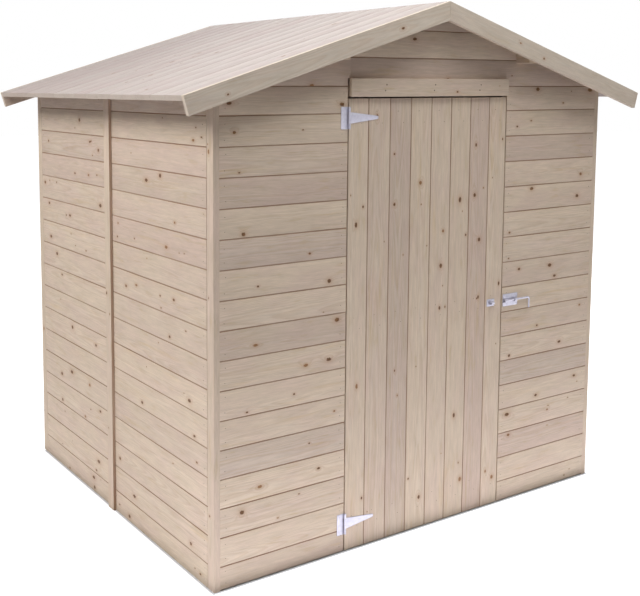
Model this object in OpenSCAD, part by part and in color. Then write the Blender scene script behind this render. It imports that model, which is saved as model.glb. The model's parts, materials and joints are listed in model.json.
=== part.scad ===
// Wooden garden shed: board-clad wall panels on a batten frame, a two-slope
// boarded roof, and one ledged door on T-hinges with a slide bolt.
// Millimetres, +Z up, front towards -Y. The origin is on the ground at the
// middle of the roof's outline seen from above.

/* [Shed] */
// Width over the corner posts
shed_w = 1994; // [1600:1:2600]
// Depth over the corner posts
shed_d = 1629; // [1300:1:2200]

/* [Roof] */
// Height of the roof's top edge at the eaves
eave_h = 1750; // [1700:1:2200]
// Rise from the eaves to the ridge
roof_rise = 350; // [200:1:600]
// Reach of the roof beyond each side wall
side_overhang = 160; // [60:1:250]
// Reach of the roof in front of the front wall
front_overhang = 86; // [40:1:200]
// Reach of the roof behind the rear wall
rear_overhang = 60; // [40:1:200]
// Thickness of the roof boards
deck_t = 19; // [12:1:28]
// Clearance between the roof boards and what they lie on
roof_seat = 0.2; // [0.1:0.1:0.5]
// Width of a bargeboard, across its slope
barge_w = 70; // [50:1:140]
// Thickness of a bargeboard
barge_t = 18; // [12:1:28]
// Width of a purlin and of the ridge beam
beam_w = 44; // [28:1:70]
// Distance of a purlin's middle from the ridge
purlin_off = 487; // [300:1:600]
// Height of a purlin's inner side, below the roof boards
purlin_h = 66; // [50:1:90]
// Depth of the ridge beam below the peak of the boards
ridge_beam_h = 49; // [40:1:100]

/* [Walls] */
// Thickness of the wall and door boards
board_t = 12; // [9:1:20]
// Height of the front cladding and the door above the ground
front_lift = 5; // [5:1:15]
// Width of a corner post on the front and rear faces
post_w = 25; // [18:1:44]
// Width of a corner post on the side faces
post_d = 44; // [30:1:60]
// Gap between a corner post and the side cladding
post_gap = 2; // [0:0.5:5]
// Distance of the side walls' panel joint from the front face
joint_y = 829; // [600:1:1000]
// Gap between two wall panels
panel_gap = 1; // [0.5:0.5:4]
// Width of the battens over the panel joints
batten_w = 50; // [30:1:80]
// Thickness of the battens over the panel joints
batten_t = 13; // [8:1:20]
// Width of a framing batten, along the wall
stud_w = 44; // [30:1:60]
// Depth of a framing batten, behind the cladding
stud_t = 28; // [20:1:44]
// Height of the middle rails' underside
mid_rail_z = 850; // [500:1:1200]
// Clearance round a beam where it passes a gable
notch_gap = 0.5; // [0.5:0.5:3]
// Distance of the side walls' top rails below the doorway's head
side_rail_drop = 2; // [0:1:20]

/* [Door] */
// Distance of the door leaf from the shed's left side
door_x = 582; // [400:1:700]
// Width of the door leaf
door_w = 825; // [600:1:1000]
// Height of the doorway above the ground
doorway_h = 1740; // [1650:1:1750]
// Gap round the door leaf
door_gap = 6; // [5:0.5:12]
// Gap between the door boards and the stops on the jambs
stop_gap = 5; // [5:0.5:10]
// Reach of a stop behind the door leaf
stop_lap = 8; // [4:1:20]
// Width of a door ledge
ledge_w = 90; // [60:1:140]
// Thickness of the ledges and braces
ledge_t = 22; // [16:1:28]
// Distance of the ledges' ends from the door's edges
ledge_inset = 22; // [18:1:60]
// Width of a door brace
brace_w = 60; // [40:1:90]
// Height of the header board over the door
header_h = 68; // [40:1:120]
// Thickness of the header board
header_t = 14; // [8:1:25]

/* [Hinges] */
// Height of the lower hinge's middle above the ground
lower_hinge_z = 112; // [80:1:400]
// Distance of the upper hinge's middle below the doorway's head
upper_hinge_drop = 77; // [60:1:400]
// Height of a hinge plate and its knuckles
plate_h = 82; // [60:1:110]
// Width of a hinge plate, from the pin's axis
plate_w = 36; // [25:1:50]
// Thickness of the hinge metal
hinge_t = 2; // [1.5:0.5:3]
// Outer radius of the knuckles
knuckle_r = 4.8; // [4:0.1:5]
// Radius of the hinge pin
pin_r = 2.5; // [2:0.1:3]
// Distance of the pin's axis in front of the wall
pin_y = 5; // [5:0.5:7]
// Distance of the pin's axis outside the door leaf's edge
pin_out = 2; // [1:0.5:3]
// Clearance between a pin and its bore
pin_clear = 0.08; // [0.02:0.02:0.1]
// Gap between two knuckles, and between a knuckle and the other leaf
knuckle_gap = 0.6; // [0.3:0.1:1.5]
// Height of a strap at its root
strap_root_h = 41; // [30:1:55]
// Height of a strap at its tip
strap_tip_h = 11; // [8:1:20]
// Length of a strap from the pin's axis
strap_len = 141; // [100:1:250]

/* [Bolt] */
// Height of the bolt above the ground
bolt_z = 881; // [700:1:1200]
// Radius of the bolt's rod
rod_r = 4; // [3:0.5:6]
// Distance of the rod's axis in front of the wall
rod_y = 10; // [9:0.5:14]
// Length of the rod to the middle of its handle
rod_len = 150; // [130:1:200]
// Distance of the drawn rod's end from the door leaf
rod_back = 11; // [11:1:30]
// Travel of the rod from drawn to shot
throw = 70; // [40:1:75]
// Length of the handle below the rod
handle_len = 42; // [25:1:70]
// Radius of the handle
handle_r = 3.5; // [2.5:0.5:5]
// Clearance between the shot bolt's handle and the guide beside it
handle_clear = 5; // [5:1:10]
// Length of the bolt's plate
bolt_plate_w = 88; // [70:1:110]
// Height of the bolt's plate
bolt_plate_h = 52; // [40:1:70]
// Distance of the bolt's plate from the doorway
bolt_plate_inset = 4; // [2:1:15]
// Length of a guide on the bolt's plate
guide_w = 12; // [8:1:16]
// Outer radius of the guides and of the keep's loop
guide_r = 7; // [6.5:0.5:9]
// Clearance round the rod in its guides and keep
rod_clear = 0.4; // [0.1:0.1:0.8]
// Length of the keep's plate
keep_w = 44; // [30:1:60]
// Height of the keep's plate
keep_h = 30; // [22:1:50]
// Distance of the keep's plate from the door's edge
keep_inset = 41; // [20:1:60]
// Distance of the keep's loop from its plate's outer end
loop_inset = 4; // [2:1:10]
// Thickness of the bolt's metal
bolt_t = 2; // [1.5:0.5:3]

/* [Hidden] */
$fn = 48;
// Overlap used where one solid cuts another
cut = 1;
// Half of the shed's width, where the ridge runs
mid_x = shed_w / 2;
// Roof: half span, pitch and the boards' thickness measured upright
half_span = mid_x + side_overhang;
pitch = atan(roof_rise / half_span);
deck_drop = deck_t / cos(pitch);
roof_front = -front_overhang;
roof_back = shed_d + rear_overhang;
centre_y = (roof_front + roof_back) / 2;
// Walls: back of the cladding, back of the framing, doorway edges
frame_y = board_t + stud_t;
way_l = door_x - door_gap;
way_r = door_x + door_w + door_gap;
head_rail_z = doorway_h + stud_w;
side_rail_z = doorway_h - side_rail_drop;
// Y spans of the two side panels' framing
side_panels = [
  [post_d, joint_y - panel_gap / 2],
  [joint_y + panel_gap / 2, shed_d - post_d]
];
// Door: height of the leaf's top, hinge axis, ledge heights
door_top = doorway_h - door_gap;
pin_x = door_x - pin_out;
upper_hinge_z = doorway_h - upper_hinge_drop;
ledge_mid_z = (lower_hinge_z + upper_hinge_z) / 2;
ledge_zs = [lower_hinge_z, ledge_mid_z, upper_hinge_z];
bore_r = pin_r + pin_clear;
// Bolt: end of the drawn rod, middle of the handle, bore and places of the
// guides and the keep
rod_x0 = door_x + door_w + rod_back;
handle_x = rod_x0 + rod_len;
guide_bore = rod_r + rod_clear;
plate_x0 = way_r + bolt_plate_inset;
keep_x1 = door_x + door_w - keep_inset;
keep_x0 = keep_x1 - keep_w;
loop_w = keep_w - loop_inset;
handle_guide_x = handle_x - throw - handle_r - handle_clear - guide_w;
// Colours
wall_c = "burlywood";
trim_c = "tan";
roof_c = "wheat";
frame_c = "navajowhite";
metal_c = "lightsteelblue";

// Height of the roof boards' top, and of what lies under them, at x
function roof_top(x) = eave_h + roof_rise * (1 - abs(x - mid_x) / half_span);
function roof_under(x) = roof_top(x) - deck_drop - roof_seat;

// Heights of the beams' undersides
purlin_z = roof_under(mid_x - purlin_off + beam_w / 2) - purlin_h;
ridge_beam_z = roof_under(mid_x) - ridge_beam_h;

// ---- helpers

// Puts the shed's own corner frame (left, front, ground) in the part's frame
module place() {
  translate([-mid_x, -centre_y, 0]) children();
}

// Extrudes an outline drawn in X and Z from y0 to y1
module across(y0, y1, outline) {
  translate([0, y1, 0])
    rotate([90, 0, 0])
      linear_extrude(y1 - y0)
        polygon(outline);
}

// The space below the roof boards and their clearance
module under_roof() {
  across(roof_front - cut, roof_back + cut, [
    [-side_overhang, 0],
    [shed_w + side_overhang, 0],
    [shed_w + side_overhang, roof_under(shed_w + side_overhang)],
    [mid_x, roof_under(mid_x)],
    [-side_overhang, roof_under(-side_overhang)]
  ]);
}

module box(low, high) {
  translate(low) cube(high - low);
}

// A box that is cut off by the roof boards
module roofed_box(low, high) {
  intersection() {
    box(low, high);
    under_roof();
  }
}

// Mirrors a piece from the left half to the right half
module other_side() {
  translate([shed_w, 0, 0]) mirror([1, 0, 0]) children();
}

// ---- cladding

module front_left_cladding() {
  color(wall_c) place()
    box([post_w, 0, front_lift], [way_l, board_t, doorway_h]);
}

module front_right_cladding() {
  color(wall_c) place()
    box([way_r, 0, front_lift], [shed_w - post_w, board_t, doorway_h]);
}

module front_gable_cladding() {
  color(wall_c) place()
    difference() {
      roofed_box([post_w, 0, doorway_h], [shed_w - post_w, board_t, eave_h + roof_rise]);
      beam_notches();
    }
}

module side_cladding(y0, y1) {
  roofed_box([0, y0, 0], [board_t, y1, eave_h + roof_rise]);
}

module left_front_cladding() {
  color(wall_c) place()
    side_cladding(post_d + post_gap, joint_y - panel_gap / 2);
}

module left_rear_cladding() {
  color(wall_c) place()
    side_cladding(joint_y + panel_gap / 2, shed_d - post_d - post_gap);
}

module right_front_cladding() {
  color(wall_c) place() other_side()
    side_cladding(post_d + post_gap, joint_y - panel_gap / 2);
}

module right_rear_cladding() {
  color(wall_c) place() other_side()
    side_cladding(joint_y + panel_gap / 2, shed_d - post_d - post_gap);
}

module rear_half_cladding() {
  difference() {
    roofed_box([post_w, shed_d - board_t, 0],
               [mid_x - panel_gap / 2, shed_d, eave_h + roof_rise]);
    beam_notches();
  }
}

module rear_left_cladding() {
  color(wall_c) place() rear_half_cladding();
}

module rear_right_cladding() {
  color(wall_c) place() other_side() rear_half_cladding();
}

// ---- posts and battens

module corner_post(y0) {
  roofed_box([0, y0, 0], [post_w, y0 + post_d, eave_h + roof_rise]);
}

module front_left_post() {
  color(trim_c) place() corner_post(0);
}

module front_right_post() {
  color(trim_c) place() other_side() corner_post(0);
}

module rear_left_post() {
  color(trim_c) place() corner_post(shed_d - post_d);
}

module rear_right_post() {
  color(trim_c) place() other_side() corner_post(shed_d - post_d);
}

module side_batten() {
  roofed_box([-batten_t, joint_y - batten_w / 2, 0],
             [0, joint_y + batten_w / 2, eave_h + roof_rise]);
}

module left_joint_batten() {
  color(trim_c) place() side_batten();
}

module right_joint_batten() {
  color(trim_c) place() other_side() side_batten();
}

module rear_joint_batten() {
  color(trim_c) place()
    difference() {
      roofed_box([mid_x - batten_w / 2, shed_d, 0],
                 [mid_x + batten_w / 2, shed_d + batten_t, eave_h + roof_rise]);
      beam_notches();
    }
}

// ---- wall framing

// A jamb carries a stop behind the edge of the door leaf
module door_jamb() {
  box([way_l - stud_w, board_t, 0], [way_l, frame_y, doorway_h]);
  box([way_l - cut, board_t + stop_gap, 0],
      [door_x + stop_lap, frame_y, doorway_h]);
}

module front_studs() {
  color(frame_c) place() {
    box([post_w, board_t, 0], [post_w + stud_w, frame_y, doorway_h]);
    other_side()
      box([post_w, board_t, 0], [post_w + stud_w, frame_y, doorway_h]);
    door_jamb();
    translate([way_l + way_r, 0, 0]) mirror([1, 0, 0]) door_jamb();
  }
}

module front_rails() {
  color(frame_c) place() {
    for (z = [0, mid_rail_z]) {
      box([post_w + stud_w, board_t, z], [way_l - stud_w, frame_y, z + stud_w]);
      box([way_r + stud_w, board_t, z],
          [shed_w - post_w - stud_w, frame_y, z + stud_w]);
    }
    roofed_box([post_w, board_t, doorway_h], [shed_w - post_w, frame_y, head_rail_z]);
  }
}

module side_studs() {
  for (span = side_panels, y = [span[0], span[1] - stud_w])
    box([board_t, y, 0], [frame_y, y + stud_w, side_rail_z]);
}

module side_rails() {
  for (span = side_panels) {
    for (z = [0, mid_rail_z])
      box([board_t, span[0] + stud_w, z], [frame_y, span[1] - stud_w, z + stud_w]);
    roofed_box([board_t, span[0], side_rail_z],
               [frame_y, span[1], side_rail_z + stud_w + stud_t]);
  }
}

module left_studs() {
  color(frame_c) place() side_studs();
}

module left_rails() {
  color(frame_c) place() side_rails();
}

module right_studs() {
  color(frame_c) place() other_side() side_studs();
}

module right_rails() {
  color(frame_c) place() other_side() side_rails();
}

module rear_half_studs() {
  for (x = [post_w, mid_x - panel_gap / 2 - stud_w])
    box([x, shed_d - frame_y, 0], [x + stud_w, shed_d - board_t, doorway_h]);
}

module rear_half_rails() {
  for (z = [0, mid_rail_z])
    box([post_w + stud_w, shed_d - frame_y, z],
        [mid_x - panel_gap / 2 - stud_w, shed_d - board_t, z + stud_w]);
  roofed_box([post_w, shed_d - frame_y, doorway_h],
             [mid_x - panel_gap / 2, shed_d - board_t, head_rail_z]);
}

module rear_studs() {
  color(frame_c) place() {
    rear_half_studs();
    other_side() rear_half_studs();
  }
}

module rear_rails() {
  color(frame_c) place() {
    rear_half_rails();
    other_side() rear_half_rails();
  }
}

// One half of a gable's framing: a sloping batten under the roof boards and
// a short post under the purlin
module gable_half(y0) {
  batten_drop = stud_w / cos(pitch);
  difference() {
    intersection() {
      across(y0, y0 + stud_t, [
        [0, roof_under(0)],
        [mid_x, roof_under(mid_x)],
        [mid_x, roof_under(mid_x) - batten_drop],
        [0, roof_under(0) - batten_drop]
      ]);
      box([post_w, y0, head_rail_z],
          [mid_x - beam_w / 2 - notch_gap, y0 + stud_t, eave_h + roof_rise]);
    }
    beam_notches();
  }
  box([mid_x - purlin_off - beam_w / 2, y0, head_rail_z],
      [mid_x - purlin_off + beam_w / 2, y0 + stud_t, purlin_z - notch_gap]);
}

module gable_frame(y0) {
  gable_half(y0);
  other_side() gable_half(y0);
  box([mid_x - beam_w / 2, y0, head_rail_z],
      [mid_x + beam_w / 2, y0 + stud_t, ridge_beam_z - notch_gap]);
}

module front_gable_frame() {
  color(frame_c) place() gable_frame(board_t);
}

module rear_gable_frame() {
  color(frame_c) place() gable_frame(shed_d - frame_y);
}

module header_board() {
  color(trim_c) place()
    box([door_x, -header_t, doorway_h], [door_x + door_w, 0, doorway_h + header_h]);
}

// ---- roof

module beam(x, z) {
  roofed_box([x - beam_w / 2, roof_front + barge_t, z],
             [x + beam_w / 2, roof_back - barge_t, eave_h + roof_rise]);
}

// Clearance for the beams through the gables, open at the top
module beam_notches() {
  for (x = [mid_x - purlin_off, mid_x + purlin_off])
    box([x - beam_w / 2 - notch_gap, roof_front, purlin_z - notch_gap],
        [x + beam_w / 2 + notch_gap, roof_back, eave_h + roof_rise + cut]);
  box([mid_x - beam_w / 2 - notch_gap, roof_front, ridge_beam_z - notch_gap],
      [mid_x + beam_w / 2 + notch_gap, roof_back, eave_h + roof_rise + cut]);
}

module ridge_beam() {
  color(frame_c) place() beam(mid_x, ridge_beam_z);
}

module purlins() {
  color(frame_c) place() {
    beam(mid_x - purlin_off, purlin_z);
    beam(mid_x + purlin_off, purlin_z);
  }
}

// Outline of a board of thickness t along the left slope, square at the eave
// and upright at the ridge
function slope_outline(t) = [
  [-side_overhang, eave_h],
  [mid_x, eave_h + roof_rise],
  [mid_x, eave_h + roof_rise - t / cos(pitch)],
  [-side_overhang + t * sin(pitch), eave_h - t * cos(pitch)]
];

module deck_half() {
  across(roof_front + barge_t, roof_back - barge_t, slope_outline(deck_t));
}

module roof_deck_left() {
  color(roof_c) place() deck_half();
}

module roof_deck_right() {
  color(roof_c) place() other_side() deck_half();
}

module bargeboard(y0) {
  across(y0, y0 + barge_t, slope_outline(barge_w));
}

module bargeboard_front_left() {
  color(trim_c) place() bargeboard(roof_front);
}

module bargeboard_front_right() {
  color(trim_c) place() other_side() bargeboard(roof_front);
}

module bargeboard_rear_left() {
  color(trim_c) place() bargeboard(roof_back - barge_t);
}

module bargeboard_rear_right() {
  color(trim_c) place() other_side() bargeboard(roof_back - barge_t);
}

// ---- door

module door_boards() {
  color(wall_c) place()
    box([door_x, 0, front_lift], [door_x + door_w, board_t, door_top]);
}

module door_ledges() {
  color(frame_c) place()
    for (z = ledge_zs)
      box([door_x + ledge_inset, board_t, z - ledge_w / 2],
          [door_x + door_w - ledge_inset, board_t + ledge_t, z + ledge_w / 2]);
}

// A brace runs up from the hinge side to the free side between two ledges
module door_brace(z0, z1) {
  x0 = door_x + ledge_inset;
  x1 = door_x + door_w - ledge_inset;
  intersection() {
    across(board_t, board_t + ledge_t, [
      [x0, z0 - cut],
      [x0 + brace_w, z0 - cut],
      [x1, z1 - brace_w],
      [x1, z1 + cut],
      [x1 - brace_w, z1 + cut],
      [x0, z0 + brace_w]
    ]);
    box([x0, board_t, z0], [x1, board_t + ledge_t, z1]);
  }
}

module door_braces() {
  color(frame_c) place()
    for (i = [0, 1])
      door_brace(ledge_zs[i] + ledge_w / 2, ledge_zs[i + 1] - ledge_w / 2);
}

// ---- hinges

module knuckle(z0, z1, r) {
  translate([pin_x, -pin_y, z0]) cylinder(h = z1 - z0, r = r);
}

// The wall's leaf: a plate, its two knuckles and the pin
module hinge_plate(z) {
  low = z - plate_h / 2;
  high = z + plate_h / 2;
  root_low = z - strap_root_h / 2 - knuckle_gap;
  root_high = z + strap_root_h / 2 + knuckle_gap;
  plate_end = pin_x - knuckle_r - knuckle_gap;
  box([pin_x - plate_w, -hinge_t, low], [plate_end, 0, high]);
  for (span = [[low, root_low], [root_high, high]]) {
    knuckle(span[0], span[1], knuckle_r);
    box([plate_end - cut, -hinge_t, span[0]], [pin_x, 0, span[1]]);
  }
  knuckle(low, high, pin_r);
}

// The door's leaf: a tapering strap and its bored knuckle
module hinge_strap(z) {
  root = strap_root_h / 2;
  tip = strap_tip_h / 2;
  difference() {
    union() {
      knuckle(z - root, z + root, knuckle_r);
      across(-hinge_t, 0, [
        [pin_x, z - root],
        [door_x + door_gap, z - root],
        [pin_x + strap_len, z - tip],
        [pin_x + strap_len, z + tip],
        [door_x + door_gap, z + root],
        [pin_x, z + root]
      ]);
    }
    knuckle(z - root - cut, z + root + cut, bore_r);
  }
}

module upper_hinge_plate() {
  color(metal_c) place() hinge_plate(upper_hinge_z);
}

module lower_hinge_plate() {
  color(metal_c) place() hinge_plate(lower_hinge_z);
}

module upper_hinge_strap() {
  color(metal_c) place() hinge_strap(upper_hinge_z);
}

module lower_hinge_strap() {
  color(metal_c) place() hinge_strap(lower_hinge_z);
}

// ---- bolt

// A cylinder along X round the rod's axis
module rod_tube(x0, x1, r) {
  translate([x0, -rod_y, bolt_z]) rotate([0, 90, 0]) cylinder(h = x1 - x0, r = r);
}

// A bridge over the rod, standing on its plate
module guide(x0, w) {
  difference() {
    union() {
      rod_tube(x0, x0 + w, guide_r);
      box([x0, -rod_y, bolt_z - guide_r], [x0 + w, -bolt_t / 2, bolt_z + guide_r]);
    }
    rod_tube(x0 - cut, x0 + w + cut, guide_bore);
  }
}

module bolt_plate() {
  color(metal_c) place() {
    box([plate_x0, -bolt_t, bolt_z - bolt_plate_h / 2],
        [plate_x0 + bolt_plate_w, 0, bolt_z + bolt_plate_h / 2]);
    guide(plate_x0, guide_w);
    guide(handle_guide_x, guide_w);
  }
}

module bolt_keep() {
  color(metal_c) place() {
    box([keep_x0, -bolt_t, bolt_z - keep_h / 2],
        [keep_x1, 0, bolt_z + keep_h / 2]);
    guide(keep_x0 + loop_inset, loop_w);
  }
}

module bolt_rod() {
  color(metal_c) place() {
    rod_tube(rod_x0, handle_x, rod_r);
    translate([handle_x, -rod_y, bolt_z]) sphere(r = rod_r);
    translate([handle_x, -rod_y, bolt_z - handle_len]) {
      cylinder(h = handle_len, r = handle_r);
      sphere(r = handle_r);
    }
  }
}

front_left_cladding();
front_right_cladding();
front_gable_cladding();
left_front_cladding();
left_rear_cladding();
right_front_cladding();
right_rear_cladding();
rear_left_cladding();
rear_right_cladding();
front_left_post();
front_right_post();
rear_left_post();
rear_right_post();
left_joint_batten();
right_joint_batten();
rear_joint_batten();
front_studs();
front_rails();
left_studs();
left_rails();
right_studs();
right_rails();
rear_studs();
rear_rails();
front_gable_frame();
rear_gable_frame();
header_board();
roof_deck_left();
roof_deck_right();
ridge_beam();
purlins();
bargeboard_front_left();
bargeboard_front_right();
bargeboard_rear_left();
bargeboard_rear_right();
upper_hinge_plate();
lower_hinge_plate();
bolt_plate();
door_boards();
door_ledges();
door_braces();
upper_hinge_strap();
lower_hinge_strap();
bolt_keep();
bolt_rod();
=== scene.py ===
import json
import logging
import math
from dataclasses import dataclass, field
from enum import Enum
from typing import Callable, Optional

import bmesh
import bpy
import numpy as np
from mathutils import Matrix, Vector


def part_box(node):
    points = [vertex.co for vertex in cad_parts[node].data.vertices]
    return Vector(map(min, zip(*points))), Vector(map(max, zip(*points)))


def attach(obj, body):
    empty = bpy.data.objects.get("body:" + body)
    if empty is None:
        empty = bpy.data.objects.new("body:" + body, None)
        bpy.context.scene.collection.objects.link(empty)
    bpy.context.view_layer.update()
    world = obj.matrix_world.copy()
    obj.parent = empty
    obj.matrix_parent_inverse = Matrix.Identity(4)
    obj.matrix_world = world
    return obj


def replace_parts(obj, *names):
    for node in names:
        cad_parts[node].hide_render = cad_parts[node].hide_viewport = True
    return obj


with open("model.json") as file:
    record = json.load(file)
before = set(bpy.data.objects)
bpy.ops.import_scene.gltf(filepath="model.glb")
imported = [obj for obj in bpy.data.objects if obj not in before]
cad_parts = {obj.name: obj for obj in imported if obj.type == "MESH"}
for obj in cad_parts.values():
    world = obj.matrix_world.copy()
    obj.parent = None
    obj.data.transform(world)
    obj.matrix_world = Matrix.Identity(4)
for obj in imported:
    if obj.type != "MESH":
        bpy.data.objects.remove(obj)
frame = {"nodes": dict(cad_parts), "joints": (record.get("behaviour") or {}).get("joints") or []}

MM = 0.001
SEED = 11
KNOTS_PER_BOARD = 6
EAVE_TOP = 1.750  # height of the roof boards' upper edge at the eaves
DECK = 19 * MM  # thickness of the roof boards
CRISP_EDGE = 30  # degrees above which an edge stays crisp
NAIL_SIDES = 8
SCREW_POINTS = 32
log = logging.getLogger("garden_shed")


# ---------------------------------------------------------------- timber

class Tone(Enum):
    """Families of planed spruce, as (pinkness, greyness, lightness)."""

    PALE = (0.20, 0.05, 1.035)
    BEIGE = (0.40, 0.10, 1.00)
    YELLOW = (0.05, 0.00, 1.02)
    PINK = (0.90, 0.10, 0.96)
    GREY = (0.45, 0.45, 0.98)
    BROWN = (0.55, 0.20, 0.93)


class Sawing(Enum):
    """How a board was cut from its log, as (depth of the pith, its tilt along the board)."""

    CROWN = (0.030, 0.030)
    RIFT = (0.070, 0.012)
    QUARTER = (0.012, 0.010)


@dataclass(frozen=True)
class Knot:
    """A knot: its place along and across a board from the board's start, and its radius."""

    along: float
    across: float
    radius: float


@dataclass(frozen=True)
class Character:
    """What makes one board look unlike the next."""

    tone: tuple[float, float, float]
    pith: tuple[float, float, float]
    shift: float
    knots: tuple[Knot, ...] = ()

    def values(self, local: np.ndarray) -> dict[str, np.ndarray]:
        """The material's inputs at points of the board.

        Args:
            local: Points as (along, across, outward), one row each.

        Returns:
            One array of vectors for each named attribute.
        """
        every = np.ones((len(local), 1))
        found = {
            "grain": local + np.array([self.shift, 0.0, 0.0]),
            "tone": every * np.array(self.tone),
            "pith": every * np.array(self.pith),
        }
        for place in range(KNOTS_PER_BOARD):
            spot = (0.0, 0.0, 0.0)
            if place < len(self.knots):
                knot = self.knots[place]
                spot = (knot.along + self.shift, knot.across, knot.radius)
            found[f"knot_{place + 1}"] = every * np.array(spot)
        return found


@dataclass
class TimberYard:
    """Picks boards from the stack: tone, sawing and knots, the same on every run."""

    rng: np.random.Generator
    knots_per_metre: float = 3.0
    largest_knot: float = 7.2 * MM
    tones: tuple[Tone, ...] = (Tone.PALE, Tone.BEIGE, Tone.BEIGE, Tone.PINK, Tone.GREY, Tone.YELLOW)
    contrast: float = 1.0
    spread: tuple[float, float, float] = (0.06, 0.04, 0.010)
    clear_ends: float = 0.03
    clear_sides: float = 0.12
    smallest_share: float = 0.3
    smallness: float = 1.4

    def pick(
        self,
        length: float,
        width: float,
        tone: Optional[Tone] = None,
        start: float = 0.0,
    ) -> Character:
        """One board's character.

        Args:
            length: Length of the board.
            width: Its width.
            tone: Its colour family, or None for any in the stack.
            start: Where the board starts on its own along axis.
        """
        rng = self.rng
        family = tone or self.tones[rng.integers(len(self.tones))]
        sawing = list(Sawing)[rng.integers(len(Sawing))]
        depth, tilt = sawing.value
        colour = np.array(family.value) + rng.normal(0.0, self.spread)
        colour[2] = 1.0 + (colour[2] - 1.0) * self.contrast
        count = min(KNOTS_PER_BOARD, rng.poisson(self.knots_per_metre * length))
        places = start + rng.uniform(self.clear_ends, 1.0 - self.clear_ends, count) * length
        sides = rng.uniform(self.clear_sides, 1.0 - self.clear_sides, count) * width
        sizes = self.largest_knot * rng.uniform(self.smallest_share, 1.0, count) ** self.smallness
        return Character(
            tone=tuple(float(c) for c in colour),
            pith=(
                float(rng.uniform(0.2, 0.8) * width),
                float(-depth * rng.uniform(0.7, 1.4)),
                float(tilt * rng.choice((-1.0, 1.0)) * rng.uniform(0.6, 1.2)),
            ),
            shift=float(rng.uniform(2.0, 30.0)),
            knots=tuple(Knot(*map(float, knot)) for knot in zip(places, sides, sizes)),
        )


# ---------------------------------------------------------------- mesh making

@dataclass(frozen=True)
class Datum:
    """A board's own axes: its corner, the way it runs and the way its face looks."""

    origin: tuple[float, float, float]
    along: tuple[float, float, float]
    outward: tuple[float, float, float]

    def placed(self, local: np.ndarray) -> np.ndarray:
        """Points in the part's frame: origin + a * along + b * (outward x along) + c * outward.

        Args:
            local: Points as (along, across, outward) in their last axis.

        Returns:
            The same points in the part's frame.
        """
        along = np.array(self.along)
        outward = np.array(self.outward)
        axes = np.stack([along, np.cross(outward, along), outward])
        return np.array(self.origin) + local @ axes


@dataclass
class PieceMesh:
    """Gathers surfaces and makes them one object with its attributes and material."""

    name: str
    points: list[np.ndarray] = field(default_factory=list)
    faces: list[list[int]] = field(default_factory=list)
    values: dict[str, list[np.ndarray]] = field(default_factory=dict)
    marks: dict[str, list[np.ndarray]] = field(default_factory=dict)
    count: int = 0

    def add(
        self,
        points: np.ndarray,
        faces: list[list[int]],
        values: Optional[dict[str, np.ndarray]] = None,
        marks: Optional[dict[str, np.ndarray]] = None,
    ) -> None:
        """Adds one surface.

        Args:
            points: Its points, one row each.
            faces: Its faces, as lists of rows of points.
            values: A vector for each point, by attribute.
            marks: A number for each face, by attribute.
        """
        if self.volume(points, faces) < 0:
            faces = [face[::-1] for face in faces]
        self.faces += [[corner + self.count for corner in face] for face in faces]
        self.points.append(points)
        self.count += len(points)
        for name, array in (values or {}).items():
            self.values.setdefault(name, []).append(array)
        for name, array in (marks or {}).items():
            self.marks.setdefault(name, []).append(array)

    @staticmethod
    def volume(points: np.ndarray, faces: list[list[int]]) -> float:
        """Six times the volume that faces enclose: the sum of a . (b x c) over fans of triangles.

        Args:
            points: Corners, one row each.
            faces: Faces, as lists of rows of points.

        Returns:
            A number below zero where the faces look inwards.
        """
        fans = np.array([(f[0], b, c) for f in faces for b, c in zip(f[1:-1], f[2:])])
        a, b, c = points[fans[:, 0]], points[fans[:, 1]], points[fans[:, 2]]
        return float(np.einsum("ij,ij->", a, np.cross(b, c)))

    def made(self, body: str, slot: str, material: bpy.types.Material) -> bpy.types.Object:
        """Makes the object, which rides on its body.

        Args:
            body: The body that the piece moves with.
            slot: Not used.
            material: Its material.
        """
        mesh = bpy.data.meshes.new(self.name)
        mesh.from_pydata(np.concatenate(self.points), [], self.faces)
        for name, arrays in self.values.items():
            attribute = mesh.attributes.new(name, "FLOAT_VECTOR", "POINT")
            attribute.data.foreach_set("vector", np.concatenate(arrays).astype(np.float32).ravel())
        for name, arrays in self.marks.items():
            attribute = mesh.attributes.new(name, "FLOAT", "FACE")
            attribute.data.foreach_set("value", np.concatenate(arrays).astype(np.float32))
        mesh.validate()
        mesh.shade_smooth()
        mesh.set_sharp_from_angle(angle=math.radians(CRISP_EDGE))
        mesh.materials.append(material)
        piece = bpy.data.objects.new(self.name, mesh)
        bpy.context.scene.collection.objects.link(piece)
        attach(piece, body)
        log.info("%s: %d faces on %s", self.name, len(mesh.polygons), body)
        return piece


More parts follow.
